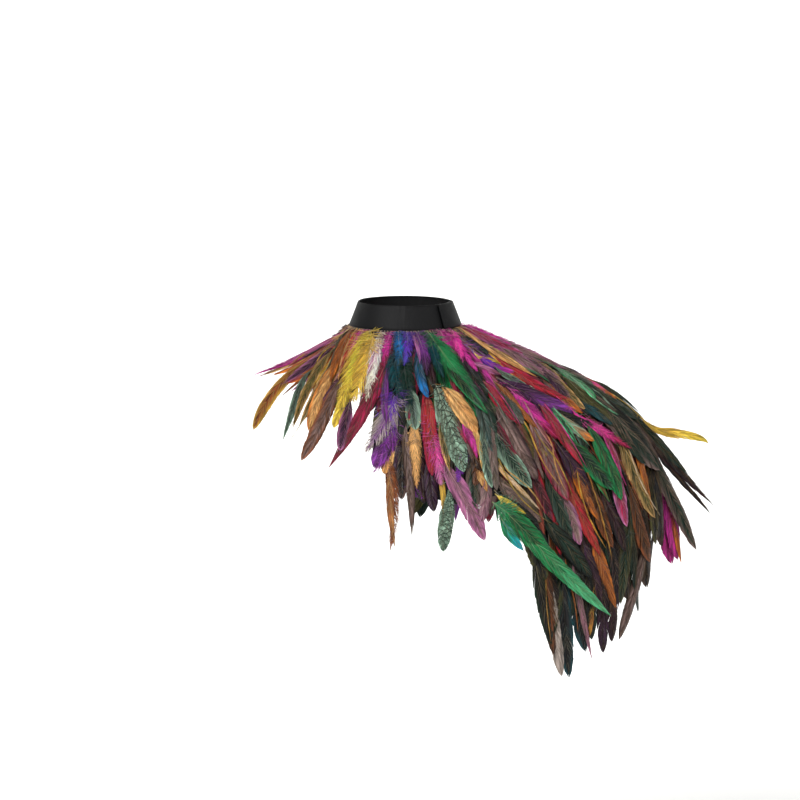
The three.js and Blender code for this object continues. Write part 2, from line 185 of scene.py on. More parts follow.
# Feathers that the front view shows one by one, from where each is first seen to its tip, in chart
# units across and down. Width and bow are in millimetres, and a later feather lies over an earlier one.
# Raised is how much more its outer part stands off the others, in millimetres.
Charted = namedtuple("Charted", "row across down tip_across tip_down width cut pattern dye second bow raised",
                     defaults=(0, 0))
SHORT, FRONT, SHOULDER = "neck_row_short_side", "neck_row_front", "neck_row_shoulder_side"
UPPER, MIDDLE, LOWER = "upper_tier_front", "middle_tier_front", "lower_tier_front"
CHART = [Charted(*line) for line in (
    (SHORT, 326, 352, 281, 385, 11, "lance", "edged", "plum", "mauve_pink"),
    (SHORT, 342, 335, 288, 367, 7, "lance", "tipped", "tan", "crimson"),
    (SHORT, 342, 333, 253, 375, 8, "lance", "tipped", "mauve_pink", "magenta"),
    (SHORT, 302, 364, 253, 430, 13, "leaf", "edged", "rust", "gold", 8),
    (SHORT, 304, 376, 283, 441, 9, "lance", "edged", "grey_green", "mint"),
    (SHORT, 331, 366, 299, 426, 11, "lance", "edged", "olive", "tan"),
    (SHORT, 328, 354, 293, 428, 10, "lance", "edged", "olive", "tan", 3),
    (SHORT, 338, 384, 301, 461, 14, "leaf", "edged", "taupe", "rust"),
    (SHORT, 339, 360, 309, 432, 14, "leaf", "edged", "tan", "orange", 3),
    (SHORT, 330, 360, 286, 446, 1.3, "lance", "plain", "tan", "mint", -5),
    (SHORT, 322, 352, 290, 434, 1.3, "lance", "plain", "gold", "olive", 4),
    (SHORT, 342, 334, 322, 378, 9, "lance", "edged", "brown", "olive"),
    (SHORT, 350, 330, 330, 382, 10, "lance", "tipped", "rust", "orange"),
    (SHORT, 356, 331, 338, 380, 9, "lance", "edged", "red", "tan"),
    (SHORT, 362, 331, 346, 360, 9, "downy", "plain", "magenta", "red"),
    (SHORT, 351, 398, 340, 451, 13, "leaf", "edged", "plum", "mauve_pink"),
    (SHORT, 346, 384, 333, 428, 12, "leaf", "plain", "yellow", "gold"),
    (SHORT, 367, 332, 338, 404, 26, "downy", "plain", "gold", "yellow"),
    (SHORT, 374, 332, 352, 404, 24, "downy", "plain", "gold", "yellow"),
    (SHORT, 370, 332, 345, 395, 20, "downy", "plain", "yellow", "gold"),
    (FRONT, 391, 350, 328, 469, 15, "lance", "plain", "crimson", "maroon", -3),
    (FRONT, 383, 333, 369, 400, 12, "leaf", "tipped", "mauve_pink", "cream"),
    (FRONT, 379, 333, 366, 402, 15, "downy", "plain", "cream", "tan"),
    (FRONT, 390, 333, 384, 370, 11, "downy", "tipped", "magenta", "crimson"),
    (FRONT, 396, 358, 402, 402, 24, "downy", "plain", "teal", "bottle_green"),
    (FRONT, 404, 362, 412, 406, 22, "downy", "plain", "bottle_green", "teal"),
    (FRONT, 418, 356, 428, 398, 10, "leaf", "tipped", "teal", "blue"),
    (FRONT, 398, 333, 397, 372, 12, "downy", "tipped", "blue", "teal"),
    (FRONT, 417, 333, 427, 376, 17, "downy", "tipped", "purple", "plum"),
    (FRONT, 407, 333, 404, 366, 14, "downy", "plain", "violet", "blue"),
    (FRONT, 412, 333, 420, 364, 4, "lance", "plain", "mauve_pink", "violet"),
    (FRONT, 441, 331, 458, 370, 16, "downy", "tipped", "magenta", "crimson"),
    (FRONT, 452, 330, 463, 362, 12, "downy", "plain", "hot_pink", "magenta"),
    (FRONT, 430, 338, 444, 378, 14, "downy", "plain", "teal", "bottle_green"),
    (FRONT, 430, 334, 474, 398, 24, "downy", "plain", "emerald", "bottle_green"),
    (FRONT, 434, 340, 484, 404, 18, "downy", "tipped", "emerald", "grey_green"),
    (FRONT, 450, 368, 488, 414, 12, "lance", "edged", "bottle_green", "emerald"),
    (SHOULDER, 465, 338, 488, 355, 14, "leaf", "plain", "black", "teal"),
    (SHOULDER, 462, 362, 502, 375, 9, "lance", "plain", "mauve_pink", "crimson"),
    (SHOULDER, 466, 366, 482, 382, 12, "leaf", "plain", "bottle_green", "black"),
    (SHOULDER, 478, 356, 518, 373, 9, "lance", "tipped", "violet", "magenta"),
    (SHOULDER, 480, 358, 501, 363, 5, "lance", "plain", "yellow", "gold"),
    (SHOULDER, 501, 373, 530, 387, 8, "lance", "edged", "grey_green", "mint"),
    (SHOULDER, 500, 346, 558, 384, 15, "leaf", "edged", "taupe", "mauve_pink"),
    (SHOULDER, 503, 363, 575, 403, 11, "lance", "edged", "red", "crimson"),
    (SHOULDER, 560, 394, 583, 413, 11, "lance", "tipped", "rust", "orange"),
    (SHOULDER, 520, 352, 566, 386, 14, "leaf", "striped", "mauve_pink", "taupe"),
    (SHOULDER, 534, 362, 573, 404, 17, "leaf", "edged", "plum", "taupe"),
    (SHOULDER, 500, 352, 532, 374, 9, "lance", "edged", "tan", "brown"),
    (SHOULDER, 564, 372, 596, 398, 12, "leaf", "striped", "emerald", "mint"),
    (SHOULDER, 548, 366, 585, 409, 12, "leaf", "edged", "olive", "tan"),
    (SHOULDER, 560, 369, 625, 408, 14, "lance", "edged", "bottle_green", "grey_green"),
    (SHOULDER, 548, 362, 606, 392, 11, "lance", "edged", "taupe", "grey_green"),
    (SHOULDER, 572, 370, 600, 386, 7, "lance", "plain", "plum", "purple"),
    (SHOULDER, 580, 376, 617, 399, 9, "lance", "tipped", "hot_pink", "orange"),
    (SHOULDER, 464, 327, 524, 354, 11, "lance", "edged", "crimson", "mauve_pink"),
    (SHOULDER, 492, 338, 566, 369, 12, "lance", "edged", "taupe", "mauve_pink"),
    (SHOULDER, 447, 334, 478, 372, 12, "downy", "plain", "magenta", "hot_pink"),
    (SHOULDER, 462, 324, 540, 354, 13, "downy", "tipped", "magenta", "mauve_pink"),
    (SHOULDER, 466, 325, 512, 345, 9, "downy", "plain", "hot_pink", "magenta"),
    (SHOULDER, 459, 326, 537, 377, 4.5, "lance", "plain", "tan", "orange"),
    (UPPER, 396, 384, 399, 440, 15, "leaf", "plain", "black", "bottle_green"),
    (UPPER, 391, 424, 374, 468, 18, "leaf", "tipped", "plum", "purple"),
    (UPPER, 394, 402, 365, 453, 26, "downy", "striped", "grey", "purple"),
    (UPPER, 396, 426, 373, 473, 17, "downy", "plain", "purple", "mauve_pink", -5),
    (UPPER, 395, 392, 383, 456, 28, "downy", "tipped", "violet", "purple"),
    (UPPER, 404, 430, 412, 538, 10, "lance", "edged", "taupe", "brown"),
    (UPPER, 414, 430, 417, 489, 14, "downy", "plain", "tan", "rust"),
    (UPPER, 404, 380, 416, 430, 18, "leaf", "edged", "grey_green", "mint"),
    (UPPER, 426, 398, 432, 476, 15, "leaf", "edged", "red", "crimson"),
    (UPPER, 430, 404, 436, 460, 10, "lance", "plain", "red", "rust"),
    (UPPER, 434, 440, 441, 487, 18, "downy", "tipped", "hot_pink", "mauve_pink"),
    (UPPER, 442, 430, 450, 472, 9, "lance", "edged", "olive", "tan"),
    (UPPER, 466, 430, 477, 459, 11, "lance", "edged", "magenta", "crimson"),
    (UPPER, 436, 384, 464, 472, 22, "leaf", "laced", "mint", "black"),
    (UPPER, 492, 426, 497, 491, 11, "leaf", "plain", "taupe", "grey_green"),
    (UPPER, 484, 432, 492, 488, 11, "leaf", "edged", "grey_green", "mint"),
    (UPPER, 474, 388, 496, 434, 14, "leaf", "striped", "bottle_green", "grey_green"),
    (UPPER, 479, 398, 493, 452, 12, "leaf", "plain", "grey_green", "teal"),
    (UPPER, 474, 428, 482, 470, 6, "lance", "plain", "tan", "gold"),
    (UPPER, 447, 389, 477, 433, 18, "leaf", "plain", "tan", "orange"),
    (UPPER, 497, 438, 532, 488, 18, "leaf", "edged", "bottle_green", "mint"),
    (UPPER, 496, 424, 528, 478, 10, "lance", "edged", "maroon", "crimson"),
    (UPPER, 500, 412, 538, 481, 18, "leaf", "edged", "taupe", "maroon"),
    (UPPER, 487, 384, 518, 424, 10, "lance", "edged", "crimson", "red"),
    (UPPER, 510, 402, 524, 424, 11, "leaf", "plain", "grey_green", "taupe"),
    (UPPER, 532, 420, 568, 501, 19, "leaf", "edged", "taupe", "crimson"),
    (UPPER, 503, 388, 545, 436, 7, "lance", "plain", "rust", "orange"),
    (UPPER, 520, 400, 560, 440, 16, "downy", "tipped", "magenta", "crimson"),
    (UPPER, 544, 408, 584, 468, 12, "lance", "edged", "crimson", "red"),
    (UPPER, 505, 382, 574, 413, 19, "leaf", "tipped", "plum", "purple"),
    (UPPER, 566, 378, 628, 430, 20, "leaf", "edged", "olive", "bottle_green"),
    (UPPER, 586, 384, 650, 452, 22, "leaf", "plain", "black", "bottle_green"),
    (UPPER, 556, 411, 600, 428, 11, "leaf", "plain", "black", "bottle_green"),
    (UPPER, 556, 412, 577, 444, 8, "lance", "edged", "bottle_green", "bright_green"),
    (UPPER, 578, 402, 614, 424, 12, "leaf", "plain", "teal", "bottle_green"),
    (UPPER, 592, 430, 622, 500, 17, "leaf", "striped", "emerald", "bottle_green"),
    (UPPER, 566, 440, 614, 490, 19, "leaf", "edged", "bottle_green", "emerald"),
    (UPPER, 563, 419, 594, 441, 10, "leaf", "tipped", "mint", "orange"),
    (UPPER, 582, 420, 632, 449, 12, "downy", "tipped", "hot_pink", "crimson"),
    (UPPER, 618, 428, 646, 464, 12, "leaf", "plain", "bottle_green", "black"),
    (UPPER, 606, 386, 688, 474, 20, "lance", "plain", "bottle_green", "black"),
    (UPPER, 652, 430, 724, 444, 11, "leaf", "tipped", "gold", "yellow"),
    (UPPER, 640, 430, 714, 506, 13, "lance", "striped", "maroon", "black"),
    (UPPER, 646, 440, 710, 513, 11, "lance", "plain", "black", "maroon"),
    (UPPER, 634, 424, 697, 550, 18, "leaf", "edged", "bottle_green", "taupe"),
    (UPPER, 584, 388, 660, 470, 26, "leaf", "edged", "bottle_green", "taupe"),
    (UPPER, 530, 432, 560, 486, 1.3, "lance", "plain", "gold", "orange", 3),
    (UPPER, 540, 440, 572, 496, 1.3, "lance", "plain", "gold", "olive", -3),
    (UPPER, 553, 446, 566, 492, 1.3, "lance", "plain", "tan", "orange", 3),
    (UPPER, 590, 385, 640, 420, 15, "lance", "edged", "bottle_green", "grey_green"),
    (UPPER, 644, 430, 702, 494, 14, "lance", "plain", "black", "maroon"),
    (UPPER, 484, 386, 508, 424, 1.3, "lance", "plain", "grey_green", "mint", 2),
    (UPPER, 492, 384, 522, 428, 1.3, "lance", "plain", "hot_pink", "crimson", -2),
    (UPPER, 526, 404, 556, 452, 1.3, "lance", "plain", "mauve_pink", "tan", 3),
    (UPPER, 548, 408, 588, 470, 1.3, "lance", "plain", "hot_pink", "red", -3),
    (UPPER, 556, 410, 590, 446, 1.3, "lance", "plain", "bright_green", "mint", 2),
    (UPPER, 598, 392, 646, 440, 1.3, "lance", "plain", "mint", "grey_green", 3),
    (UPPER, 574, 376, 620, 416, 1.3, "lance", "plain", "bright_green", "mint", 2),
    (UPPER, 602, 432, 626, 486, 1.3, "lance", "plain", "hot_pink", "crimson", -3),
    (MIDDLE, 398, 436, 391, 490, 15, "leaf", "plain", "plum", "black"),
    (MIDDLE, 405, 440, 402, 500, 14, "leaf", "edged", "black", "taupe"),
    (MIDDLE, 418, 448, 424, 504, 16, "leaf", "edged", "maroon", "black"),
    (MIDDLE, 430, 462, 434, 512, 14, "leaf", "plain", "plum", "black"),
    (MIDDLE, 452, 452, 460, 506, 15, "leaf", "plain", "black", "bottle_green"),
    (MIDDLE, 472, 462, 474, 512, 15, "leaf", "edged", "bottle_green", "taupe"),
    (MIDDLE, 391, 466, 395, 548, 8, "lance", "plain", "rust", "tan", 3),
    (MIDDLE, 386, 460, 390, 551, 12, "downy", "striped", "rust", "brown", -5),
    (MIDDLE, 389, 446, 384, 474, 12, "leaf", "plain", "tan", "orange"),
    (MIDDLE, 411, 486, 424, 499, 11, "downy", "plain", "purple", "plum"),
    (MIDDLE, 441, 478, 443, 518, 6, "lance", "plain", "gold", "olive"),
    (MIDDLE, 450, 500, 443, 552, 15, "leaf", "laced", "mint", "bottle_green", 3),
    (MIDDLE, 476, 462, 475, 486, 10, "leaf", "plain", "brown", "rust"),
    (MIDDLE, 478, 470, 487, 492, 9, "lance", "plain", "tan", "orange"),
    (MIDDLE, 488, 484, 482, 522, 12, "leaf", "plain", "taupe", "mauve_pink"),
    (MIDDLE, 465, 456, 458, 484, 11, "downy", "plain", "purple", "violet"),
    (MIDDLE, 443, 462, 485, 541, 18, "leaf", "striped", "mauve_pink", "taupe", -3),
    (MIDDLE, 500, 484, 542, 522, 17, "leaf", "edged", "taupe", "olive"),
    (MIDDLE, 499, 468, 540, 510, 5, "lance", "plain", "tan", "cream"),
    (MIDDLE, 548, 478, 572, 542, 15, "leaf", "edged", "bottle_green", "grey_green"),
    (MIDDLE, 533, 476, 552, 525, 11, "leaf", "edged", "maroon", "crimson"),
    (MIDDLE, 562, 498, 580, 545, 15, "leaf", "edged", "taupe", "mauve_pink"),
    (MIDDLE, 544, 450, 568, 502, 12, "lance", "edged", "olive", "gold"),
    (MIDDLE, 605, 500, 626, 552, 15, "leaf", "edged", "maroon", "black"),
    (MIDDLE, 590, 486, 613, 548, 15, "leaf", "edged", "brown", "rust"),
    (MIDDLE, 563, 452, 590, 508, 16, "leaf", "plain", "plum", "brown"),
    (MIDDLE, 573, 460, 600, 522, 13, "lance", "edged", "rust", "orange"),
    (MIDDLE, 569, 488, 601, 556, 15, "lance", "plain", "red", "rust"),
    (MIDDLE, 632, 496, 650, 562, 15, "leaf", "edged", "brown", "rust"),
    (MIDDLE, 650, 452, 656, 545, 16, "leaf", "edged", "black", "olive"),
    (MIDDLE, 658, 474, 668, 522, 11, "leaf", "edged", "maroon", "red"),
    (MIDDLE, 650, 450, 662, 546, 22, "leaf", "edged", "black", "brown"),
    (MIDDLE, 658, 462, 668, 540, 20, "leaf", "edged", "maroon", "black"),
    (MIDDLE, 668, 496, 681, 563, 10, "lance", "tipped", "crimson", "orange"),
    (MIDDLE, 669, 494, 678, 560, 22, "leaf", "plain", "magenta", "crimson"),
    (MIDDLE, 661, 488, 672, 564, 24, "leaf", "plain", "magenta", "crimson"),
    (MIDDLE, 637, 448, 651, 508, 10, "lance", "edged", "rust", "orange"),
    (MIDDLE, 612, 444, 627, 527, 14, "leaf", "edged", "crimson", "mauve_pink"),
    (MIDDLE, 622, 442, 655, 518, 16, "leaf", "edged", "olive", "tan"),
    (MIDDLE, 500, 462, 552, 524, 1.3, "lance", "plain", "gold", "olive", 5),
    (MIDDLE, 506, 470, 545, 512, 1.3, "lance", "plain", "tan", "gold", -4),
    (MIDDLE, 577, 470, 606, 548, 1.3, "lance", "plain", "gold", "orange", 4),
    (MIDDLE, 590, 480, 612, 560, 1.3, "lance", "plain", "rust", "gold", -3),
    (MIDDLE, 628, 446, 660, 516, 1.3, "lance", "plain", "tan", "cream", 4),
    (LOWER, 540, 546, 559, 622, 16, "leaf", "plain", "black", "brown"),
    (LOWER, 532, 545, 552, 645, 13, "leaf", "edged", "black", "bottle_green"),
    (LOWER, 575, 566, 586, 652, 17, "leaf", "edged", "black", "teal"),
    (LOWER, 541, 545, 554, 655, 15, "leaf", "striped", "brown", "rust"),
    (LOWER, 551, 592, 562, 677, 13, "leaf", "plain", "grey", "taupe"),
    (LOWER, 561, 556, 569, 678, 17, "leaf", "edged", "black", "teal"),
    (LOWER, 546, 560, 551, 642, 1.3, "lance", "plain", "rust", "gold", 2),
    (LOWER, 566, 570, 578, 632, 1.3, "lance", "plain", "rust", "orange", -2),
    (LOWER, 640, 498, 647, 588, 19, "leaf", "edged", "black", "brown"),
    (LOWER, 630, 520, 639, 612, 18, "leaf", "plain", "bottle_green", "black"),
    (LOWER, 610, 536, 616, 606, 19, "leaf", "plain", "black", "plum"),
    (LOWER, 622, 530, 628, 600, 18, "leaf", "edged", "black", "brown"),
    (LOWER, 598, 548, 604, 628, 18, "leaf", "plain", "black", "maroon"),
    (LOWER, 586, 556, 592, 640, 18, "leaf", "edged", "black", "bottle_green"),
    (LOWER, 612, 590, 612, 642, 13, "leaf", "plain", "maroon", "black"),
    (LOWER, 602, 600, 603, 653, 12, "leaf", "plain", "plum", "black"),
    (LOWER, 594, 596, 590, 636, 8, "lance", "plain", "rust", "gold"),
    (LOWER, 574, 574, 592, 659, 7, "lance", "plain", "taupe", "mauve_pink"),
    (LOWER, 583, 544, 602, 602, 13, "leaf", "plain", "plum", "brown"),
    (LOWER, 646, 550, 619, 640, 14, "leaf", "edged", "taupe", "brown"),
    (LOWER, 632, 508, 621, 604, 18, "leaf", "edged", "bottle_green", "olive"),
    (LOWER, 595, 544, 616, 608, 15, "lance", "edged", "rust", "orange"),
    (LOWER, 520, 505, 546, 580, 18, "leaf", "edged", "black", "olive"),
    (LOWER, 494, 490, 540, 530, 18, "leaf", "edged", "bottle_green", "black"),
    (LOWER, 508, 496, 550, 560, 20, "leaf", "edged", "bottle_green", "black"),
    (LOWER, 545, 520, 592, 578, 17, "leaf", "edged", "bottle_green", "black", 0, 3),
    (LOWER, 499, 514, 524, 551, 12, "lance", "tipped", "emerald", "turquoise", 0, 6),
    (LOWER, 497, 503, 552, 556, 22, "lance", "striped", "emerald", "bottle_green", 0, 6),
    (LOWER, 499, 507, 611, 616, 17, "lance", "tipped", "emerald", "bright_green", 0, 8),
    (LOWER, 492, 502, 536, 540, 22, "downy", "plain", "emerald", "bright_green", 0, 4),
    (LOWER, 495, 494, 526, 514, 8, "lance", "plain", "yellow", "gold", 0, 3),
)]

# Half width of a vane along its length, as a share of its widest, for each way a feather grows
CUTS = {
    "lance": ((0, 0.4), (0.15, 0.85), (0.4, 1), (0.65, 0.86), (0.85, 0.5), (1, 0.02)),
    "leaf": ((0, 0.4), (0.15, 0.8), (0.4, 1), (0.7, 0.98), (0.85, 0.78), (0.95, 0.42), (1, 0.02)),
    "downy": ((0, 0.7), (0.25, 1), (0.5, 0.92), (0.75, 0.7), (0.92, 0.4), (1, 0.05)),
}


def linear(code):
    """The linear colour of an sRGB hex code."""
    parts = [int(code[i:i + 2], 16) / 255 for i in (1, 3, 5)]
    return tuple(p / 12.92 if p <= 0.04045 else ((p + 0.055) / 1.055) ** 2.4 for p in parts)


def smooth(value, low, high):
    """Rises from 0 at low to 1 at high without a corner."""
    share = np.clip((np.asarray(value, float) - low) / (high - low), 0, 1)
    return share * share * (3 - 2 * share)


def mix(a, b, share):
    """What lies between a and b, at a share of the way."""
    return a + (b - a) * share


class Drape:
    """The draped surface that the rows lie on, kept as tables over azimuth and reach."""

    step = 2.0
    longest = 540

    def __init__(self):
        self.azimuths = np.arange(-180, 180 + self.step, self.step)
        self.reaches = np.arange(0, self.longest + self.step, self.step)
        corners = np.array(sorted(DRAPE_SLOPES), float)
        rows = np.array([DRAPE_SLOPES[int(c)] for c in corners], float)
        after = np.clip(np.searchsorted(corners, self.azimuths, side="right"), 1, len(corners) - 1)
        across = smooth(self.azimuths, corners[after - 1], corners[after])[:, None]
        stations = mix(rows[after - 1], rows[after], across)
        self.slope = np.radians([np.interp(self.reaches, DRAPE_STATIONS, s) for s in stations])
        middle = (self.slope[:, 1:] + self.slope[:, :-1]) / 2
        start = np.zeros((len(self.azimuths), 1))
        self.run = np.hstack([start, np.cumsum(np.cos(middle) * self.step, axis=1)])
        self.drop = np.hstack([start, np.cumsum(np.sin(middle) * self.step, axis=1)])

    def read(self, table, azimuth, reach):
        """A table's value between its four nearest entries."""
        turn = ((np.asarray(azimuth, float) + 180) % 360) / self.step
        far = np.clip(np.asarray(reach, float), 0, self.longest - self.step) / self.step
        i = np.minimum(turn.astype(int), len(self.azimuths) - 2)
        j = far.astype(int)
        low = mix(table[i, j], table[i, j + 1], far - j)
        high = mix(table[i + 1, j], table[i + 1, j + 1], far - j)
        return mix(low, high, turn - i)

    def place(self, azimuth, reach, lift=0.0, stand_off=0.0):
        """Points at a lift along the normal and a level stand-off, with the surface's normals."""
        slope = self.read(self.slope, azimuth, reach)
        out = self.read(self.run, azimuth, reach) + lift * np.sin(slope) + stand_off
        angle = np.radians(azimuth)
        edge = -BAND_LOWER["half_depth"] * np.cos(angle) * math.tan(BAND_TILT)
        points = np.stack([
            (BAND_LOWER["half_width"] + out) * np.sin(angle),
            -(BAND_LOWER["half_depth"] + out) * np.cos(angle),
            edge - self.read(self.drop, azimuth, reach) + lift * np.cos(slope),
        ], axis=-1)
        normals = np.stack([
            np.sin(slope) * np.sin(angle),
            -np.sin(slope) * np.cos(angle),
            np.cos(slope),
        ], axis=-1)
        return points, normals

    def radius(self, azimuth, reach):
        """Distance from the neck's axis, to turn a length across the surface to degrees."""
        return BAND_LOWER["half_width"] + self.read(self.run, azimuth, reach)


DRAPE = Drape()


def tier_span(tier):
    """The azimuths between which a tier has feathers."""
    rows = [row for row in ROWS if row.tier == tier]
    return min(row.start for row in rows), max(row.end for row in rows)


def layer_height(row, azimuth, reach):
    """Height of a row's feathers above the draped surface, as in the part's source."""
    height = row.over * HALF_LAYER * smooth(reach - HEADINGS[row.tier], 0, OVER_EASE)
    for tier in range(row.tier + 1, len(HEADINGS)):
        first, last = tier_span(tier)
        passed = smooth(reach, HEADINGS[tier] - RISE_BEFORE_HEADING["start"],
                        HEADINGS[tier] - RISE_BEFORE_HEADING["end"])
        entered = smooth(azimuth, first - RISE_ROUND_ENDS["start"], first - RISE_ROUND_ENDS["end"])
        left = smooth(azimuth, last + RISE_ROUND_ENDS["end"], last + RISE_ROUND_ENDS["start"])
        height = height + 2 * HALF_LAYER * passed * entered * (1 - left)
    return height + BLADE_HEIGHT


def row_length(row, azimuth):
    """Length of a row's feathers, from that at the front to that at the side."""
    return mix(row.front, row.side, np.sin(np.radians(azimuth)) ** 2)


def top_height(row, azimuth, reach):
    """Height of the uppermost feathers where a feather of this row lies."""
    height = layer_height(row, azimuth, reach)
    for above in ROWS:
        if above.tier >= row.tier:
            continue
        end = HEADINGS[above.tier] + row_length(above, azimuth)
        inside, outside = COVER_SIDES["inside"], COVER_SIDES["outside"]
        there = 1 - smooth(reach, end - COVER_ENDS["start"], end + COVER_ENDS["end"])
        there = there * smooth(azimuth, above.start - outside, above.start + inside)
        there = there * (1 - smooth(azimuth, above.end - inside, above.end + outside))
        height = np.maximum(height, mix(height, layer_height(above, azimuth, reach), there))
    return height


def front_view(points):
    """Where the camera in front sees points, in millimetres across and up."""
    scale = VIEW_DISTANCE / (VIEW_DISTANCE + points[..., 1])
    x = VIEW_CENTRE["x"] + (points[..., 0] - VIEW_CENTRE["x"]) * scale
    z = VIEW_CENTRE["z"] + (points[..., 2] - VIEW_CENTRE["z"]) * scale
    return x, z


class FrontView:
    """Finds places on the draped surface from where the front view shows them."""

    def __init__(self):
        self.sides = {}
        for side in (-1, 1):
            turns = np.arange(0, OUTLINE_TURN + TURN_STEP, TURN_STEP) * side
            azimuth, reach = np.meshgrid(turns, DRAPE.reaches, indexing="ij")
            points, _ = DRAPE.place(azimuth, reach, CHART_LIFT)
            self.sides[side] = turns, *front_view(points)

    def find(self, across, down):
        """The azimuth, reach and overhang of a place on the chart."""
        x = (across - CHART_NECK["across"]) * CHART_SCALE
        z = (CHART_NECK["down"] - down) * CHART_SCALE
        side = 1 if x >= 0 else -1
        turns, seen_x, seen_z = self.sides[side]
        reach = np.array([np.interp(-z, -row, DRAPE.reaches) for row in seen_z])
        at_x = np.array([np.interp(r, DRAPE.reaches, row) for r, row in zip(reach, seen_x)]) * side
        past = np.nonzero(at_x >= x * side)[0]
        if not len(past):
            return turns[-1], reach[-1], x * side - at_x[-1]
        j = max(past[0], 1)
        share = float(np.clip((x * side - at_x[j - 1]) / max(at_x[j] - at_x[j - 1], TINY), 0, 1))
        return mix(turns[j - 1], turns[j], share), mix(reach[j - 1], reach[j], share), 0.0

    def seen(self, points):
        """Where the front view shows points, in chart units across and down."""
        x, z = front_view(points)
        across = CHART_NECK["across"] + x / CHART_SCALE
        down = CHART_NECK["down"] - z / CHART_SCALE
        return np.stack([across, down], axis=-1)


FRONT_VIEW = FrontView()

# Each barb takes its own place on the map of streaks, this far from the last.
STRIP_STEP = 23.0


class BarbMesh:
    """Gathers closed tapering strips and tubes as arrays, to be joined in one mesh."""

    def __init__(self):
        self.points, self.triangles, self.colours, self.maps, self.slots = [], [], [], [], []
        self.count = 0

    def add(self, points, triangles, colours, maps, slot):
        """Adds a closed shape with a colour and a place on the map for each point."""
        self.points.append(points)
        self.triangles.append(triangles + self.count)
        self.colours.append(colours)
        self.maps.append(maps)
        self.slots.append(np.full(len(triangles), slot))
        self.count += len(points)

    def strips(self, centres, sides, ups, half_widths, heights, colours, slot):
        """Three-sided strips through rings of centres, closed at the root and drawn to a point."""
        strips, rings = centres.shape[:2]
        body = centres[:, :-1]
        left = body + sides[:, :-1] * half_widths[:, :-1, None]
        right = body - sides[:, :-1] * half_widths[:, :-1, None]
        ridge = body + ups[:, :-1] * heights[:, :-1, None]
        around = np.stack([left, ridge, right], axis=2).reshape(strips, -1, 3)
        points = np.concatenate([around, centres[:, -1:]], axis=1)
        per = points.shape[1]
        faces = [(0, 2, 1)]
        for ring in range(rings - 2):
            for k in range(3):
                a, b = 3 * ring + k, 3 * ring + (k + 1) % 3
                faces += [(a, b, b + 3), (a, b + 3, a + 3)]
        last = 3 * (rings - 2)
        faces += [(last + k, last + (k + 1) % 3, per - 1) for k in range(3)]
        triangles = (np.arange(strips)[:, None, None] * per + np.array(faces)[None]).reshape(-1, 3)
        tints = np.concatenate([np.repeat(colours[:, :-1], 3, axis=1), colours[:, -1:]], axis=1)
        across = np.concatenate([np.tile([-1.0, 0.0, 1.0], rings - 1), [0.0]])
        across = np.broadcast_to(across, (strips, per))
        order = np.broadcast_to(STRIP_STEP * np.arange(strips)[:, None], across.shape)
        maps = np.stack([across, order], axis=-1).reshape(-1, 2)
        self.add(points.reshape(-1, 3), triangles, tints.reshape(-1, 3), maps, slot)

    def sheet(self, centres, ups, half_wall, colours, maps, slot):
        """A closed thin sheet over a grid of centres, whose lines run from the quill to the edge."""
        lines, stops = centres.shape[:2]
        top = centres + ups * half_wall
        points = np.concatenate([top.reshape(-1, 3), (centres - ups * half_wall).reshape(-1, 3)])
        index = np.arange(lines * stops).reshape(lines, stops)
        corners = (index[:-1, :-1], index[1:, :-1], index[1:, 1:], index[:-1, 1:])
        a, b, c, d = (corner.ravel() for corner in corners)
        faces = np.concatenate([np.stack([a, b, c], axis=1), np.stack([a, c, d], axis=1)])
        sides = (index[0, :-1][::-1] + 1, index[:-1, 0], index[-1, :-1], index[1:, -1][::-1])
        rim = np.concatenate(sides)
        after = np.roll(rim, -1)
        under = lines * stops
        walls = np.concatenate([np.stack([after, rim, rim + under], axis=1),
                                np.stack([after, rim + under, after + under], axis=1)])
        triangles = np.concatenate([faces, faces[:, ::-1] + under, walls])
        facing = np.cross(points[b[0]] - points[a[0]], points[c[0]] - points[a[0]])
        if np.dot(facing, ups[0, 0]) < 0:
            triangles = triangles[:, ::-1]
        self.add(points, triangles, np.tile(colours.reshape(-1, 3), (2, 1)),
                 np.tile(maps.reshape(-1, 2), (2, 1)), slot)

    def to_object(self, name, materials):
        """The finished piece, with its dye as a colour attribute and its barbs' map."""
        points = np.concatenate(self.points) * MM
        triangles = np.concatenate(self.triangles)
        mesh = bpy.data.meshes.new(name)
        mesh.vertices.add(len(points))
        mesh.vertices.foreach_set("co", points.astype(np.float32).ravel())
        mesh.loops.add(triangles.size)
        mesh.loops.foreach_set("vertex_index", triangles.astype(np.int32).ravel())
        mesh.polygons.add(len(triangles))
        mesh.polygons.foreach_set("loop_start", np.arange(0, triangles.size, 3, dtype=np.int32))
        for material in materials:
            mesh.materials.append(material)
        mesh.polygons.foreach_set("material_index", np.concatenate(self.slots).astype(np.int32))
        mesh.update(calc_edges=True)
        dye = mesh.color_attributes.new("dye", "FLOAT_COLOR", "POINT")
        tints = np.clip(np.concatenate(self.colours), 0, 1)
        rgba = np.concatenate([tints, np.ones((len(tints), 1))], axis=1)
        dye.data.foreach_set("color", rgba.astype(np.float32).ravel())
        barb_map = mesh.uv_layers.new(name="barb")
        maps = np.concatenate(self.maps)[triangles.ravel()]
        barb_map.data.foreach_set("uv", maps.astype(np.float32).ravel())
        piece = bpy.data.objects.new(name, mesh)
        bpy.context.scene.collection.objects.link(piece)
        return piece


SLOT_DYED, SLOT_GLOSSY, SLOT_DOWN, SLOT_QUILL, SLOT_TAPE = range(5)
SPINE_POINTS = 49
SPINE_SHARES = np.linspace(0, 1, SPINE_POINTS)


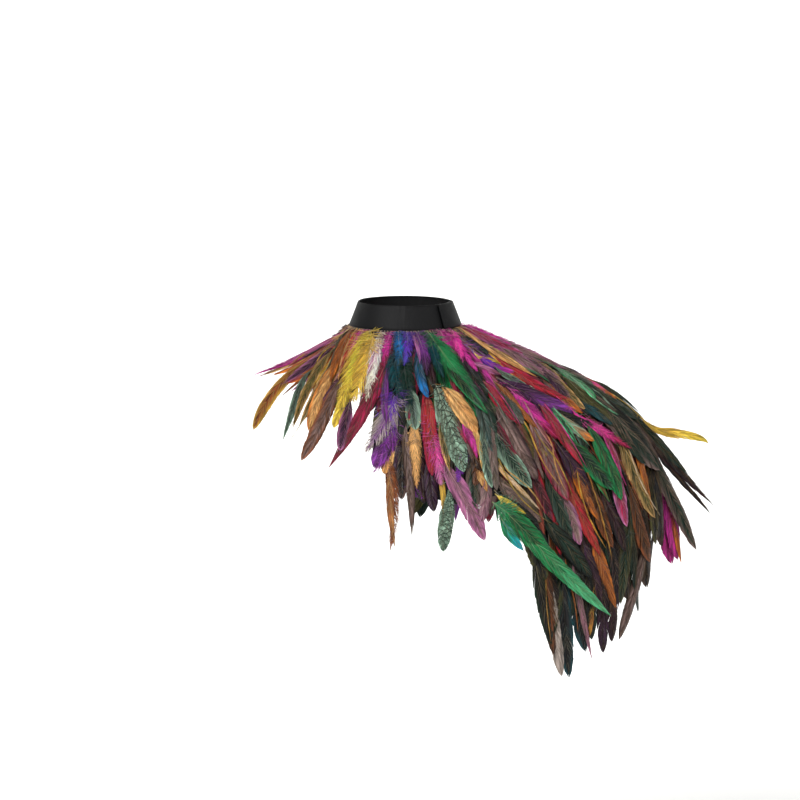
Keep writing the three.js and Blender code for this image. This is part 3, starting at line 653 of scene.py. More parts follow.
class Spine:
    """A feather's quill line with the directions along it, across it and out of its face."""

    def __init__(self, azimuth, reach, lift, stand_off, twist, facing):
        self.points, up = DRAPE.place(azimuth, reach, lift, stand_off)
        along = np.gradient(self.points, axis=0)
        self.along = along / np.linalg.norm(along, axis=1, keepdims=True)
        turned = np.broadcast_to([0.0, -1.0 if abs(azimuth[0]) < 90 else 1.0, 0.0], up.shape)
        up = mix(up, turned, np.asarray(facing)[:, None])
        up = up - self.along * np.sum(up * self.along, axis=1, keepdims=True)
        up = up / np.linalg.norm(up, axis=1, keepdims=True)
        across = np.cross(self.along, up)
        turn = np.asarray(twist)[:, None]
        self.up = up * np.cos(turn) + across * np.sin(turn)
        self.across = across * np.cos(turn) - up * np.sin(turn)
        steps = np.linalg.norm(np.diff(self.points, axis=0), axis=1)
        self.length = float(steps.sum())
        self.shares = np.concatenate([[0], np.cumsum(steps)]) / self.length

    def at(self, shares):
        """Points, and directions along, across and up, at shares of the quill's length."""
        def read(table):
            flat = [np.interp(np.ravel(shares), self.shares, table[:, k]) for k in range(3)]
            return np.stack(flat, axis=-1).reshape(*np.shape(shares), 3)
        return read(self.points), read(self.along), read(self.across), read(self.up)


def ease(values, reach=5):
    """Rounds the bends of a path while its two ends stay put."""
    padded = np.concatenate([np.full(reach, values[0]), values, np.full(reach, values[-1])])
    kernel = np.hanning(2 * reach + 3)[1:-1]
    rounded = np.convolve(padded, kernel / kernel.sum(), mode="valid")
    hold = np.minimum(np.arange(len(values)), np.arange(len(values))[::-1]) / reach
    return mix(values, rounded, np.clip(hold, 0, 1))


# Where a pattern's second dye starts and is full, along the vane or from the quill to the vane's edge
TIPPED = (0.35, 0.85)
EDGED = (0.5, 1.0)
STRIPED = (0.1, 0.55)
FADED = (0.3, 1.0)
BARRED = (0.2, 0.8)
# How much of its second dye a faded or a barred vane takes at most
FADED_MOST = 0.35
BARRED_MOST = 0.25
BARS = 13
BAR_SLANT = 2
UNEVEN_DYE = {"share": 0.12, "shade": 0.16}

# One feather. vane_from is where its vane starts, as a share of the quill, down the number of downy barbs
# at its base, and pitch a factor on the distance between its lines.
Feather = namedtuple("Feather", "width cut pattern dye second slot vane_from down pitch")

# Barbs of every kind: stops from the quill to the vane's edge, and how they lean forward
VANE_STOPS = np.array([0.0, 0.45, 0.85, 1.0])
BARB_STOPS = np.array([0.0, 0.35, 0.7, 1.0])
RIM_STOPS = np.array([0.05, 0.6, 1.0])
LACE_STOPS = np.linspace(-0.95, 0.95, 9)
DOWN_STOPS = np.linspace(0, 1, 4)
BARB_LEAN = math.tan(math.radians(77))
LEAN_MOST = 0.4
LAST_BARB = 0.95
BARB_BEND = 1.25
HAIR_TIP = 0.5

# Smooth vanes: the fewest lines, lines in a clump, and how far clumps and lines stray
FEWEST_LINES = 9
CLUMP_LINES = (4, 12)
VANE_STRAY = {"streak": 0.5, "tone": 0.2, "edge": 0.03, "shift": 0.9, "flutter": 0.5}
MAP_SPREAD = 4000
LACED_PITCH = 0.45

# Loose vanes: the fewest barbs, and how far they stray. A thin barb lets light through, so its colour is
# painted brighter: painted light.
FEWEST_BARBS = 10
LOOSE_STRAY = {"place": 0.4, "parting": 0.25, "shift": 0.03, "longer": 0.18, "flutter": 1.2, "wave": 0.06}
LOOSE_TONE = {"barb": 0.9, "along": 0.25}
LOOSE_WIDTHS = (0.5, 1.1)
LIT_THROUGH = 1.4

# Single barbs on a smooth vane, paler towards a pale gold that is partly their own colour and partly painted
# highlight
FEWEST_RIM_BARBS = 4
RIM_SPREAD = {"place": (0.02, 0.97), "longer": (0.85, 1.2), "shift": (-0.02, 0.1), "paler": (0, 0.2)}
RIM_LIFT = {"base": 0.45, "rise": 0.5}
RIM_SECOND = 0.6
RIM_WIDTHS = (0.15, 0.32)
PALE_BARB_AND_HIGHLIGHT = "#d9b98a"

# The net on a laced feather
LACES = 15
LACE_SPREAD = {"place": (0.2, 0.8), "slope": (0.03, 0.07), "wander": 0.012}
LACE_ENDS = (0.03, 0.97)
LACE_LIFT = 0.6
LACE_WIDTHS = (0.35, 0.6)

# Quills: a feather this wide has a full one
FULL_QUILL = 5
QUILL_SHARES = np.linspace(0, 0.985, 13)
QUILL_TIP = 0.22
QUILL_RIDGE = 1.5
QUILL_LIFT = 0.12
QUILL_DYE = {"base": 0.5, "rise": 1.6, "most": 0.9}
PALE_QUILL = "#c9b48c"

# Down at a feather's base: its place on the quill in shares, its reach in widths, its turns in degrees
DOWN_PLACE = {"least": 0.02, "before": 0.16, "after": 0.24}
DOWN_REACH = (0.4, 0.85)
DOWN_LEAN = (15, 70)
DOWN_CURL = (-50, 50)
DOWN_RISE = (-0.15, 0.35)
DOWN_LIFT = 0.3
DOWN_BARB = {"half_width": 0.26, "height": 0.24}
DOWN_DYE = {"second": 0.2, "paler": 0.03, "shade": 0.22}


def tint(feather, rank, stops, jitter):
    """Colours over a vane, for barbs from its base to its tip and stops from the quill to its edge."""
    along = np.broadcast_to(rank[:, None], jitter.shape)
    out = np.broadcast_to(stops[None, :], jitter.shape)
    if feather.pattern == "tipped":
        share = smooth(along, *TIPPED)
    elif feather.pattern == "edged":
        share = smooth(out, *EDGED)
    elif feather.pattern == "striped":
        share = 1 - smooth(out, *STRIPED)
    elif feather.pattern == "laced":
        share = BARRED_MOST * smooth(np.sin(along * BARS * math.tau + out * BAR_SLANT), *BARRED)
    else:
        share = FADED_MOST * smooth(along, *FADED)
    share = np.clip(share + UNEVEN_DYE["share"] * jitter, 0, 1)[..., None]
    return mix(feather.dye, feather.second, share) * (1 + UNEVEN_DYE["shade"] * jitter)[..., None]


def grow(mesh, spine, random, feather, settings):
    """Adds one feather: its vane, its quill and the down at its base."""
    for side in (-1.0, 1.0):
        if feather.cut == "downy":
            add_barbs(mesh, spine, random, side, feather, settings)
        else:
            add_vane(mesh, spine, random, side, feather, settings)
            add_rim(mesh, spine, random, side, feather, settings)
    if feather.pattern == "laced":
        add_lacing(mesh, spine, random, feather, settings)
    add_quill(mesh, spine, feather, settings)
    add_down(mesh, spine, random, feather)


def barb_lines(spine, side, feather, rank, stops, shift, longer):
    """Points of barbs that leave the quill leaning forward and end on the feather's outline."""
    profile = np.array(CUTS[feather.cut])
    vane_share = 1 - feather.vane_from
    ahead = min(LEAN_MOST, feather.width / 2 * BARB_LEAN / (spine.length * vane_share))
    root = feather.vane_from + vane_share * LAST_BARB * rank
    ends = np.clip(ahead + (1 - ahead) * rank + shift, 0, 1)
    half = np.interp(ends, profile[:, 0], profile[:, 1]) * feather.width / 2 * longer
    edge = feather.vane_from + vane_share * ends
    shares = mix(root[:, None], edge[:, None], stops[None, :] ** BARB_BEND)
    points, _, across, up = spine.at(shares)
    out = half[:, None] * stops[None, :]
    return points + across * (side * out)[..., None], up, half


def fall_of(settings, half, stops):
    """How far a cambered vane falls below its quill, out to its edge."""
    return settings.camber * half[:, None] * (stops ** 2)[None, :]


def add_vane(mesh, spine, random, side, feather, settings):
    """One side of a smooth vane: barbs that hold together in clumps, with splits between the clumps."""
    vane_length = spine.length * (1 - feather.vane_from)
    lines = max(FEWEST_LINES, int(vane_length / (settings.line_pitch * feather.pitch)))
    ends = [0]
    while ends[-1] < lines - 1:
        ends.append(min(lines - 1, ends[-1] + int(random.integers(*CLUMP_LINES))))
        if lines - 1 - ends[-1] < CLUMP_LINES[0]:
            ends[-1] = lines - 1
    streaks = random.normal(0, VANE_STRAY["streak"], lines)
    edge = 1 + VANE_STRAY["edge"] * random.normal(0, 1, lines)
    map_start = random.uniform(0, MAP_SPREAD)
    for first, last in zip(ends[:-1], ends[1:]):
        which = np.arange(first, last + 1)
        rank = which / (lines - 1)
        shift = VANE_STRAY["shift"] * settings.raggedness * random.normal() / vane_length * (1 - rank)
        centres, up, half = barb_lines(spine, side, feather, rank, VANE_STOPS, shift, edge[which])
        flutter = VANE_STRAY["flutter"] * random.normal() * VANE_STOPS[None, :] ** 2
        centres = centres + up * (flutter - fall_of(settings, half, VANE_STOPS))[..., None]
        grid = centres.shape[:2]
        jitter = streaks[which][:, None] + VANE_STRAY["tone"] * random.normal(0, 1, grid)
        colours = tint(feather, rank, VANE_STOPS, jitter)
        out = side * half[:, None] * VANE_STOPS[None, :]
        along = np.broadcast_to((map_start + rank * vane_length)[:, None], grid)
        maps = np.stack([out, along], axis=-1)
        mesh.sheet(centres, up, settings.vane_wall / 2, colours, maps, feather.slot)


def add_barbs(mesh, spine, random, side, feather, settings):
    """One side of a loose vane, whose thin barbs stand apart and wave."""
    vane_length = spine.length * (1 - feather.vane_from)
    barbs = max(FEWEST_BARBS, int(vane_length / settings.barb_pitch))
    grid = (barbs, len(BARB_STOPS))
    place = random.uniform(-LOOSE_STRAY["place"], LOOSE_STRAY["place"], barbs)
    rank = (np.arange(barbs) + 0.5 + place) / barbs
    clump = np.cumsum(random.uniform(0, 1, barbs) < LOOSE_STRAY["parting"])
    together = LOOSE_STRAY["shift"] * random.normal(0, 1, clump[-1] + 1)[clump]
    shift = together + LOOSE_STRAY["shift"] * random.normal(0, 1, barbs)
    longer = 1 + LOOSE_STRAY["longer"] * random.normal(0, 1, barbs)
    shift = shift * settings.raggedness
    centres, up, half = barb_lines(spine, side, feather, rank, BARB_STOPS, shift, longer)
    flutter = LOOSE_STRAY["flutter"] * random.normal(0, 1, barbs)[:, None] * BARB_STOPS[None, :] ** 2
    wave = LOOSE_STRAY["wave"] * half[:, None, None] * random.normal(0, 1, (*grid, 3)) * BARB_STOPS[:, None]
    centres = centres + up * (flutter - fall_of(settings, half, BARB_STOPS))[..., None] + wave
    thickness = random.uniform(*LOOSE_WIDTHS, barbs) * settings.barb_width / 2
    tone = random.normal(0, LOOSE_TONE["barb"], barbs)[:, None]
    jitter = tone + LOOSE_TONE["along"] * random.normal(0, 1, grid)
    # Painted light: the loose barbs' colour is brightened to stand for the light coming through them
    colours = LIT_THROUGH * tint(feather, rank, BARB_STOPS, jitter)
    add_hairs(mesh, centres, up, thickness, settings.barb_height, colours, feather.slot)


def add_hairs(mesh, centres, up, thickness, height, colours, slot):
    """Tapering barbs through rings of centres."""
    direction = np.gradient(centres, axis=1)
    direction = direction / np.maximum(np.linalg.norm(direction, axis=2, keepdims=True), TINY)
    taper = np.linspace(1, HAIR_TIP, centres.shape[1])
    half_widths = thickness[:, None] * taper[None, :]
    heights = np.full(centres.shape[:2], height)
    mesh.strips(centres, np.cross(up, direction), up, half_widths, heights, colours, slot)


def add_rim(mesh, spine, random, side, feather, settings):
    """Paler single barbs along a smooth vane, some past its edge: their paleness is partly their own pale
    gold and partly painted highlight where they catch the light.
    """
    vane_length = spine.length * (1 - feather.vane_from)
    count = max(FEWEST_RIM_BARBS, int(vane_length / (settings.rim_pitch * feather.pitch)))
    rank = random.uniform(*RIM_SPREAD["place"], count)
    longer = random.uniform(*RIM_SPREAD["longer"], count)
    shift = random.uniform(*RIM_SPREAD["shift"], count)
    centres, up, half = barb_lines(spine, side, feather, rank, RIM_STOPS, shift, longer)
    lift = RIM_LIFT["base"] + RIM_LIFT["rise"] * RIM_STOPS[None, :]
    centres = centres + up * (lift - fall_of(settings, half, RIM_STOPS))[..., None]
    # Partly painted highlight: rim barbs are mixed towards their second dye and a pale gold that stands both
    # for their own paleness and for the light they catch
    paler = random.uniform(*RIM_SPREAD["paler"], count)[:, None]
    dyes = mix(mix(feather.dye, feather.second, RIM_SECOND), np.array(linear(PALE_BARB_AND_HIGHLIGHT)), paler)
    colours = np.broadcast_to(dyes[:, None], centres.shape)
    thickness = random.uniform(*RIM_WIDTHS, count) * settings.barb_width
    add_hairs(mesh, centres, up, thickness, settings.barb_height, colours, feather.slot)


def add_lacing(mesh, spine, random, feather, settings):
    """Dark lines that cross a laced feather both ways in an uneven net."""
    profile = np.array(CUTS[feather.cut])
    for slant in (-1, 1):
        middle = (np.arange(LACES) + random.uniform(*LACE_SPREAD["place"], LACES)) / LACES
        slope = slant * random.uniform(*LACE_SPREAD["slope"], LACES)
        wander = LACE_SPREAD["wander"] * random.normal(0, 1, (LACES, len(LACE_STOPS)))
        along = np.clip(middle[:, None] + slope[:, None] * LACE_STOPS[None, :] + wander, *LACE_ENDS)
        half = np.interp(along, profile[:, 0], profile[:, 1]) * feather.width / 2
        points, _, across, up = spine.at(feather.vane_from + (1 - feather.vane_from) * along)
        out = half * LACE_STOPS[None, :]
        lift = LACE_LIFT - settings.camber * half * LACE_STOPS[None, :] ** 2
        centres = points + across * out[..., None] + up * lift[..., None]
        thickness = random.uniform(*LACE_WIDTHS, LACES) * settings.barb_width
        colours = np.broadcast_to(feather.second, centres.shape)
        add_hairs(mesh, centres, up, thickness, settings.barb_height, colours, feather.slot)


def add_quill(mesh, spine, feather, settings):
    """The shaft, pale at its base and dyed towards its tip."""
    points, _, across, up = spine.at(QUILL_SHARES)
    thickest = settings.quill / 2 * min(1.0, feather.width / FULL_QUILL)
    radius = thickest * mix(1.0, QUILL_TIP, QUILL_SHARES)
    pale = mix(np.array(linear(PALE_QUILL)), feather.dye, QUILL_DYE["base"])
    dyed = np.clip(QUILL_SHARES * QUILL_DYE["rise"], 0, QUILL_DYE["most"])
    colours = mix(pale, feather.dye, dyed[:, None])
    centres = points + up * QUILL_LIFT
    heights = radius * QUILL_RIDGE
    mesh.strips(*(part[None] for part in (centres, across, up, radius, heights, colours)), SLOT_QUILL)


def add_down(mesh, spine, random, feather):
    """Downy barbs that curl out from the base of the vane."""
    count = feather.down
    nearest = max(DOWN_PLACE["least"], feather.vane_from - DOWN_PLACE["before"])
    shares = random.uniform(nearest, feather.vane_from + DOWN_PLACE["after"], count)
    points, along, across, up = spine.at(shares)
    side = random.choice([-1.0, 1.0], count)
    reach = feather.width * random.uniform(*DOWN_REACH, count)
    lean = np.radians(random.uniform(*DOWN_LEAN, count))
    curl = np.radians(random.uniform(*DOWN_CURL, count))
    swing = lean[:, None] + curl[:, None] * DOWN_STOPS[None, :]
    direction = (across[:, None] * (side[:, None] * np.cos(swing))[..., None]
                 + along[:, None] * np.sin(swing)[..., None]
                 + up[:, None] * random.uniform(*DOWN_RISE, count)[:, None, None])
    steps = direction[:, 1:] * (reach / (len(DOWN_STOPS) - 1))[:, None, None]
    path = np.concatenate([np.zeros((count, 1, 3)), np.cumsum(steps, axis=1)], axis=1)
    centres = points[:, None] + path + up[:, None] * DOWN_LIFT
    sides = (-across[:, None] * np.sin(swing)[..., None]
             + along[:, None] * (side[:, None] * np.cos(swing))[..., None])
    half_widths = np.full(swing.shape, DOWN_BARB["half_width"])
    heights = np.full(swing.shape, DOWN_BARB["height"])
    shade = 1 + DOWN_DYE["shade"] * random.normal(0, 1, count)
    paler = mix(mix(feather.dye, feather.second, DOWN_DYE["second"]), 1.0, DOWN_DYE["paler"])
    colours = np.broadcast_to((paler[None, :] * shade[:, None])[:, None], centres.shape)
    ups = np.broadcast_to(up[:, None], centres.shape)
    mesh.strips(centres, sides, ups, half_widths, heights, colours, SLOT_DOWN)


def add_tape(mesh, row):
    """The heading tape that the row's feathers are sewn to."""
    steps = int((row.end - row.start) / TAPE["step"])
    azimuth = np.linspace(row.start + TAPE["end_gap"], row.end - TAPE["end_gap"], steps + 1)
    low = TAPE["lift"] if row.tier else -TAPE["thickness"] / 2
    high = low + TAPE["thickness"]
    rings = []
    for edge, lift in ((-0.5, low), (-0.5, high), (0.5, high), (0.5, low)):
        reach = np.full(steps + 1, HEADINGS[row.tier] + edge * TAPE["width"])
        if row.tier == 0 and edge < 0:
            behind = BEHIND_RIBBON["near"] if lift > low else BEHIND_RIBBON["far"]
            rings.append(band_point(azimuth, np.full(steps + 1, BEHIND_RIBBON["rise"]), -behind))
        else:
            rings.append(DRAPE.place(azimuth, reach, lift)[0])
    points = np.stack(rings, axis=1).reshape(-1, 3)
    faces = [(0, 1, 2), (0, 2, 3)]
    for i in range(steps):
        for k in range(4):
            a, b = 4 * i + k, 4 * i + (k + 1) % 4
            faces += [(a, a + 4, b + 4), (a, b + 4, b)]
    end = 4 * steps
    faces += [(end, end + 2, end + 1), (end, end + 3, end + 2)]
    colours = np.broadcast_to(np.array(linear(TAPE_BLACK)), points.shape)
    maps = np.stack([points[:, 0], points[:, 2]], axis=1)
    mesh.add(points, np.array(faces), colours, maps, SLOT_TAPE)


# Paths of feathers: where the quills are sewn, and how a path leaves the tape
NECK_SEWN = 1.0
TAPE_RISE = (-1, 7)
EXTRA_RISE = (0, 25)
LEAN_BEND = 1.5
CURL_BEND = 3

# Aiming a charted feather at its place on the chart
SEEN_POINTS = 9
SEEN_EASE = 4
HIDDEN_EASE = 3
AIMING_ROUNDS = 3
AIM_STEP = 0.8
OFF_LEAST = -3
OFF_MOST = 60
ON_TOP = (-0.3, 0.15)
RAISED_FROM = (0, 0.35)
EVEN_TURN = (40, 60)
ROW_END_GAP = 3
ASIDE_MOST = 6

# Feathers along a row: the spread of each, and how they shorten at the front and fan out at the yoke's end
YOKE_ROWS_END = 168
FAN_OUT = 36
FAN_FROM = 22
FRONT_SHARE = (1.0, 0.72, 0.72, 1.0)
FRONT_EASE = (12, 40)
LAST_SHARE = 0.8
FILL_PLACE = (0.2, 0.8)
FILL_END_GAP = 2
FILL_LONGER = (0.6, 0.98)
FILL_WIDER = (0.75, 1.1)
FILL_STRAY = {"lean": 7, "bow": 4, "curl": 2, "twist": 13}
FILL_EXTRA = (-1.4, 0.4)
FILL_PITCH = 1.5
FILL_FACING = 0.35
FILL_FACING_FROM = (0.02, 0.3)
FILL_VANE_FROM = 0.1
FILL_DOWN = {"neck": 30, "tier": 4}
FILL_PATTERNS = ("plain", "edged", "striped", "tipped")
FILL_CUTS = {"neck": ("lance", "leaf", "lance", "downy"), "tier": ("lance", "leaf", "lance", "leaf")}
DYE_STEP = 3

# Charted feathers: the spread of each, the layers from first to last, and how they face the front
CHARTED_STRAY = {"bow": 1.5, "twist": 8}
CHARTED_LEVELS = (1.5, 6.5)
CHARTED_FACING = {"front": 0.7, "side": 0.5}
CHARTED_SIDE = (50, 85)
CHARTED_DOWN = {"downy": 60, "smooth": 8}
FACING_EASE = 0.15
TUCKED = 12
VANE_FROM_LEAST = 0.04
FIRST_SEED = 1000


def sewn_at(row):
    """The reach at which a row's quills are sewn."""
    return NECK_SEWN if row.tier == 0 else HEADINGS[row.tier]


def own_height(row, azimuth, reach):
    """Height of a row's own feathers, which rise from the tape."""
    return layer_height(row, azimuth, reach) * smooth(reach - sewn_at(row), *TAPE_RISE)


def row_path(row, azimuth, length, lean, bow, curl, extra):
    """The path of a feather that lies along its row."""
    first = sewn_at(row)
    reach = first + length * SPINE_SHARES
    round_by = np.degrees(1 / DRAPE.radius(azimuth, reach))
    aside = lean * SPINE_SHARES ** LEAN_BEND + bow * np.sin(np.pi * SPINE_SHARES)
    turned = azimuth + aside * round_by
    lift = own_height(row, turned, reach) + extra * smooth(reach - first, *EXTRA_RISE)
    return turned, reach, lift + curl * SPINE_SHARES ** CURL_BEND


def seen_path(row, line, bow, level):
    """The part of a charted feather that shows, aimed until the front view has it in its place."""
    shares = np.linspace(0, 1, SEEN_POINTS)
    way = np.array([line.tip_across - line.across, line.tip_down - line.down], float)
    aside = np.array([-way[1], way[0]]) / np.linalg.norm(way) * bow / CHART_SCALE
    goal = (np.array([line.across, line.down]) + shares[:, None] * way
            + np.sin(np.pi * shares)[:, None] * aside)
    aim = goal.copy()
    for _ in range(AIMING_ROUNDS):
        found = zip(*(FRONT_VIEW.find(*spot) for spot in aim))
        turns, reaches, offs = (np.array(part) for part in found)
        own = own_height(row, turns, reaches)
        over = top_height(row, turns, reaches) + level + line.raised * smooth(shares, *RAISED_FROM)
        lifts = mix(own, over, smooth(shares, *ON_TOP))
        points, _ = DRAPE.place(turns, reaches, lifts, offs)
        aim = aim + (goal - FRONT_VIEW.seen(points)) * AIM_STEP
    even = np.polyval(np.polyfit(shares, turns, 2), shares)
    turns = mix(turns, even, smooth(np.abs(turns).max(), *EVEN_TURN))
    for _ in range(AIMING_ROUNDS):
        points, _ = DRAPE.place(turns, reaches, lifts, offs)
        missed = (goal - FRONT_VIEW.seen(points)) * CHART_SCALE * AIM_STEP
        sideways = np.sin(np.radians(turns))
        offs = np.clip(offs + missed[:, 0] * sideways, OFF_LEAST, OFF_MOST)
        reaches = reaches + missed[:, 1] / np.sin(DRAPE.read(DRAPE.slope, turns, reaches))
    reaches = np.maximum(reaches, sewn_at(row) + 1)
    points, _ = DRAPE.place(turns, reaches, lifts, offs)
    length = float(np.linalg.norm(np.diff(points, axis=0), axis=1).sum())
    eased = [ease(np.interp(SPINE_SHARES, shares, part), SEEN_EASE) for part in (turns, reaches, lifts, offs)]
    return eased, length


def charted_path(row, line, bow, level):
    """The path of a charted feather, from its heading under the others to its tip on top of them."""
    (turns, reaches, lifts, offs), length = seen_path(row, line, bow, level)
    sewn = float(np.clip(turns[0], row.start + ROW_END_GAP, row.end - ROW_END_GAP))
    if abs(sewn - turns[0]) > ASIDE_MOST:
        return turns, reaches, lifts, offs, 0.0
    first = sewn_at(row)
    hidden = max(reaches[0], first + 1) - first
    start = hidden / (hidden + length)
    before = np.clip(SPINE_SHARES / max(start, TINY), 0, 1)
    after = np.clip((SPINE_SHARES - start) / (1 - start), 0, 1)
    azimuth, reach, lift, stand_off = (np.interp(after, SPINE_SHARES, part)
                                       for part in (turns, reaches, lifts, offs))
    under = before < 1
    azimuth = np.where(under, mix(sewn, turns[0], before), azimuth)
    reach = np.where(under, mix(first, first + hidden, before), np.maximum(reach, first + 1))
    stand_off = np.where(under, offs[0] * before, stand_off)
    lift = np.where(under, mix(own_height(row, azimuth, reach), lifts[0], before ** 2), lift)
    azimuth, reach, stand_off = (ease(part, HIDDEN_EASE) for part in (azimuth, reach, stand_off))
    return azimuth, reach, ease(lift), stand_off, start


def grow_along(mesh, row, random, settings, dyes):
    """Grows the feathers that lie along a row: those of the part's source, and then those between."""
    names = row.dyes.split()
    share = (row.end - row.start) / row.count
    kind = "neck" if row.tier == 0 else "tier"
    for i in range(row.count + row.fill):
        if i < row.count:
            azimuth = row.start + share * (i + 0.5)
            longer = random.uniform(*LENGTH_SPREAD)
        else:
            place = (i - row.count + random.uniform(*FILL_PLACE)) / row.fill
            azimuth = mix(row.even + FILL_END_GAP, row.end - FILL_END_GAP, place)
            longer = random.uniform(*FILL_LONGER)
        if azimuth < row.even:
            continue
        shorter = mix(FRONT_SHARE[row.tier], 1.0, smooth(azimuth, *FRONT_EASE))
        ending = smooth(azimuth, row.end - FAN_FROM, row.end) if row.end == YOKE_ROWS_END else 0
        length = float(row_length(row, azimuth) * longer * shorter * mix(1.0, LAST_SHARE, ending))
        lean = random.normal(FAN_OUT * ending, FILL_STRAY["lean"])
        bow = random.normal(0, FILL_STRAY["bow"])
        curl = max(0.0, random.normal(0, FILL_STRAY["curl"]))
        extra = random.uniform(*FILL_EXTRA)
        turned, reach, lift = row_path(row, azimuth, length, lean, bow, curl, extra)
        twist = np.radians(random.normal(0, FILL_STRAY["twist"])) * SPINE_SHARES
        slanting = abs(math.sin(math.radians(2 * azimuth)))
        facing = FILL_FACING * slanting * smooth(SPINE_SHARES, *FILL_FACING_FROM)
        spine = Spine(turned, reach, lift, np.zeros(SPINE_POINTS), twist, facing)
        name = names[(i * DYE_STEP + int(random.integers(0, 2))) % len(names)]
        other = names[int(random.integers(0, len(names)))]
        pattern = FILL_PATTERNS[int(random.integers(0, len(FILL_PATTERNS)))]
        cut = FILL_CUTS[kind][int(random.integers(0, len(FILL_CUTS[kind])))]
        width = row.width * random.uniform(*FILL_WIDER)
        slot = SLOT_GLOSSY if name in GLOSSY else SLOT_DYED
        feather = Feather(width, cut, pattern, dyes[name], dyes[other], slot, FILL_VANE_FROM,
                          FILL_DOWN[kind], FILL_PITCH)
        grow(mesh, spine, random, feather, settings)


def grow_charted(mesh, row, random, settings, dyes):
    """Grows the charted feathers of a row."""
    charted = [line for line in CHART if line.row == row.name]
    for order, line in enumerate(charted):
        bow = line.bow + random.normal(0, CHARTED_STRAY["bow"])
        level = mix(*CHARTED_LEVELS, order / len(charted))
        azimuth, reach, lift, stand_off, start = charted_path(row, line, bow, level)
        twist = np.radians(random.normal(0, CHARTED_STRAY["twist"])) * SPINE_SHARES
        turned_round = smooth(np.abs(azimuth), *CHARTED_SIDE)
        facing = mix(CHARTED_FACING["front"], CHARTED_FACING["side"], turned_round)
        facing = facing * smooth(SPINE_SHARES, start * 0.5, start + FACING_EASE)
        spine = Spine(azimuth, reach, lift, stand_off, twist, facing)
        slot = SLOT_GLOSSY if line.dye in GLOSSY else SLOT_DYED
        vane_from = max(VANE_FROM_LEAST, start - TUCKED / spine.length)
        down = CHARTED_DOWN["downy" if line.cut == "downy" else "smooth"]
        pitch = LACED_PITCH if line.pattern == "laced" else 1.0
        feather = Feather(line.width, line.cut, line.pattern, dyes[line.dye], dyes[line.second], slot,
                          vane_from, down, pitch)
        grow(mesh, spine, random, feather, settings)


def feather_row(row, settings, dyes, materials):
    """Makes one row of feathers on its heading tape, and puts it in place of the row's solid."""
    random = np.random.default_rng(FIRST_SEED + ROWS.index(row))
    mesh = BarbMesh()
    add_tape(mesh, row)
    grow_along(mesh, row, random, settings, dyes)
    grow_charted(mesh, row, random, settings, dyes)
    piece = mesh.to_object(row.name + "_barbed", materials)
    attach(piece, "root")
    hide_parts(row.name)


# Materials


def node(tree, kind, inputs=None, **settings):
    """Adds a node with its settings, and links or sets its inputs."""
    made = tree.nodes.new(kind)
    for key, value in settings.items():
        setattr(made, key, value)
    for key, value in (inputs or {}).items():
        if isinstance(value, bpy.types.NodeSocket):
            tree.links.new(value, made.inputs[key])
        else:
            made.inputs[key].default_value = value
    return made


def start_material(name):
    """A new material with no nodes."""
    material = bpy.data.materials.new(name)
    material.use_nodes = True
    material.node_tree.nodes.clear()
    return material, material.node_tree


def finish_material(tree, surface):
    """Joins the surface to the material's output."""
    node(tree, "ShaderNodeOutputMaterial", {"Surface": surface.outputs[0]})


# A wave texture turns once in this much, times its scale.
WAVE_TURN = math.tau / 20
# Barbs are about 0.4 mm apart, drawn at 3.4 mm so that they show.
BARB_SPACING = 3.4
# Ribs of grosgrain are about 0.6 mm apart, drawn at 1.4 mm so that they show.
RIB_SPACING = 1.4
# How fast the streaks change across and along a vane, for each millimetre
STREAK_PITCH = (0.45, 0.05, 1.0)
# The ribbon's sewn edge, in millimetres from the ribbon's own edge
SEWN_EDGE = {"inner": 2.2, "outer": 1.4}
LOOP_SPACING = 0.9


def feather_material(name, roughness, sheen, coat, metal):
    """Keratin barbs, dyed in the feather: streaks of darker and paler barbs with barbules across them. The
    streaks are partly each barb's own tone and partly painted gloss highlight and painted shade between
    barbs, and the barbule lines also paint lit ridges and shaded grooves into the colour.
    """
    material, tree = start_material(name)
    dye = node(tree, "ShaderNodeAttribute", attribute_name="dye")
    barb_map = node(tree, "ShaderNodeUVMap", uv_map="barb")
    stretched = node(tree, "ShaderNodeVectorMath", {0: barb_map.outputs[0], 1: STREAK_PITCH},
                     operation="MULTIPLY")
    streak = node(tree, "ShaderNodeTexNoise", {"Vector": stretched.outputs[0], "Scale": 1.0, "Detail": 3.0})
    # Streaks: the dye is scaled by 0.22 to 1.55, partly each barb's own tone and partly painted gloss
    # highlight and painted shade between barbs
    depth = node(tree, "ShaderNodeMapRange", {
        "Value": streak.outputs[0], "From Min": 0.3, "From Max": 0.7, "To Min": 0.22, "To Max": 1.55})
    barbs = node(tree, "ShaderNodeTexWave", {
        "Vector": barb_map.outputs[0], "Scale": WAVE_TURN / BARB_SPACING, "Distortion": 3.5, "Detail": 2.0,
    }, bands_direction="Y")
    # Painted light and shade: the barbule lines make the colour a little lighter on their ridges and darker
    # in their grooves, over the bump
    lines = node(tree, "ShaderNodeMapRange", {"Value": barbs.outputs["Fac"], "To Min": 0.84, "To Max": 1.1})
    shade = node(tree, "ShaderNodeMath", {0: depth.outputs[0], 1: lines.outputs[0]}, operation="MULTIPLY")
    colour = node(tree, "ShaderNodeVectorMath", {0: dye.outputs["Color"], "Scale": shade.outputs[0]},
                  operation="SCALE")
    relief = node(tree, "ShaderNodeBump", {
        "Height": barbs.outputs["Fac"], "Strength": 0.45, "Distance": 0.5 * MM})
    gloss = node(tree, "ShaderNodeMapRange", {
        "Value": streak.outputs[0], "To Min": roughness - 0.1, "To Max": roughness + 0.12})
    surface = node(tree, "ShaderNodeBsdfPrincipled", {
        "Base Color": colour.outputs[0], "Roughness": gloss.outputs[0], "Normal": relief.outputs[0],
        "IOR": 1.54, "Specular IOR Level": 0.22, "Metallic": metal,
        "Sheen Weight": sheen, "Sheen Roughness": 0.35, "Coat Weight": coat, "Coat Roughness": 0.25})
    finish_material(tree, surface)
    return material


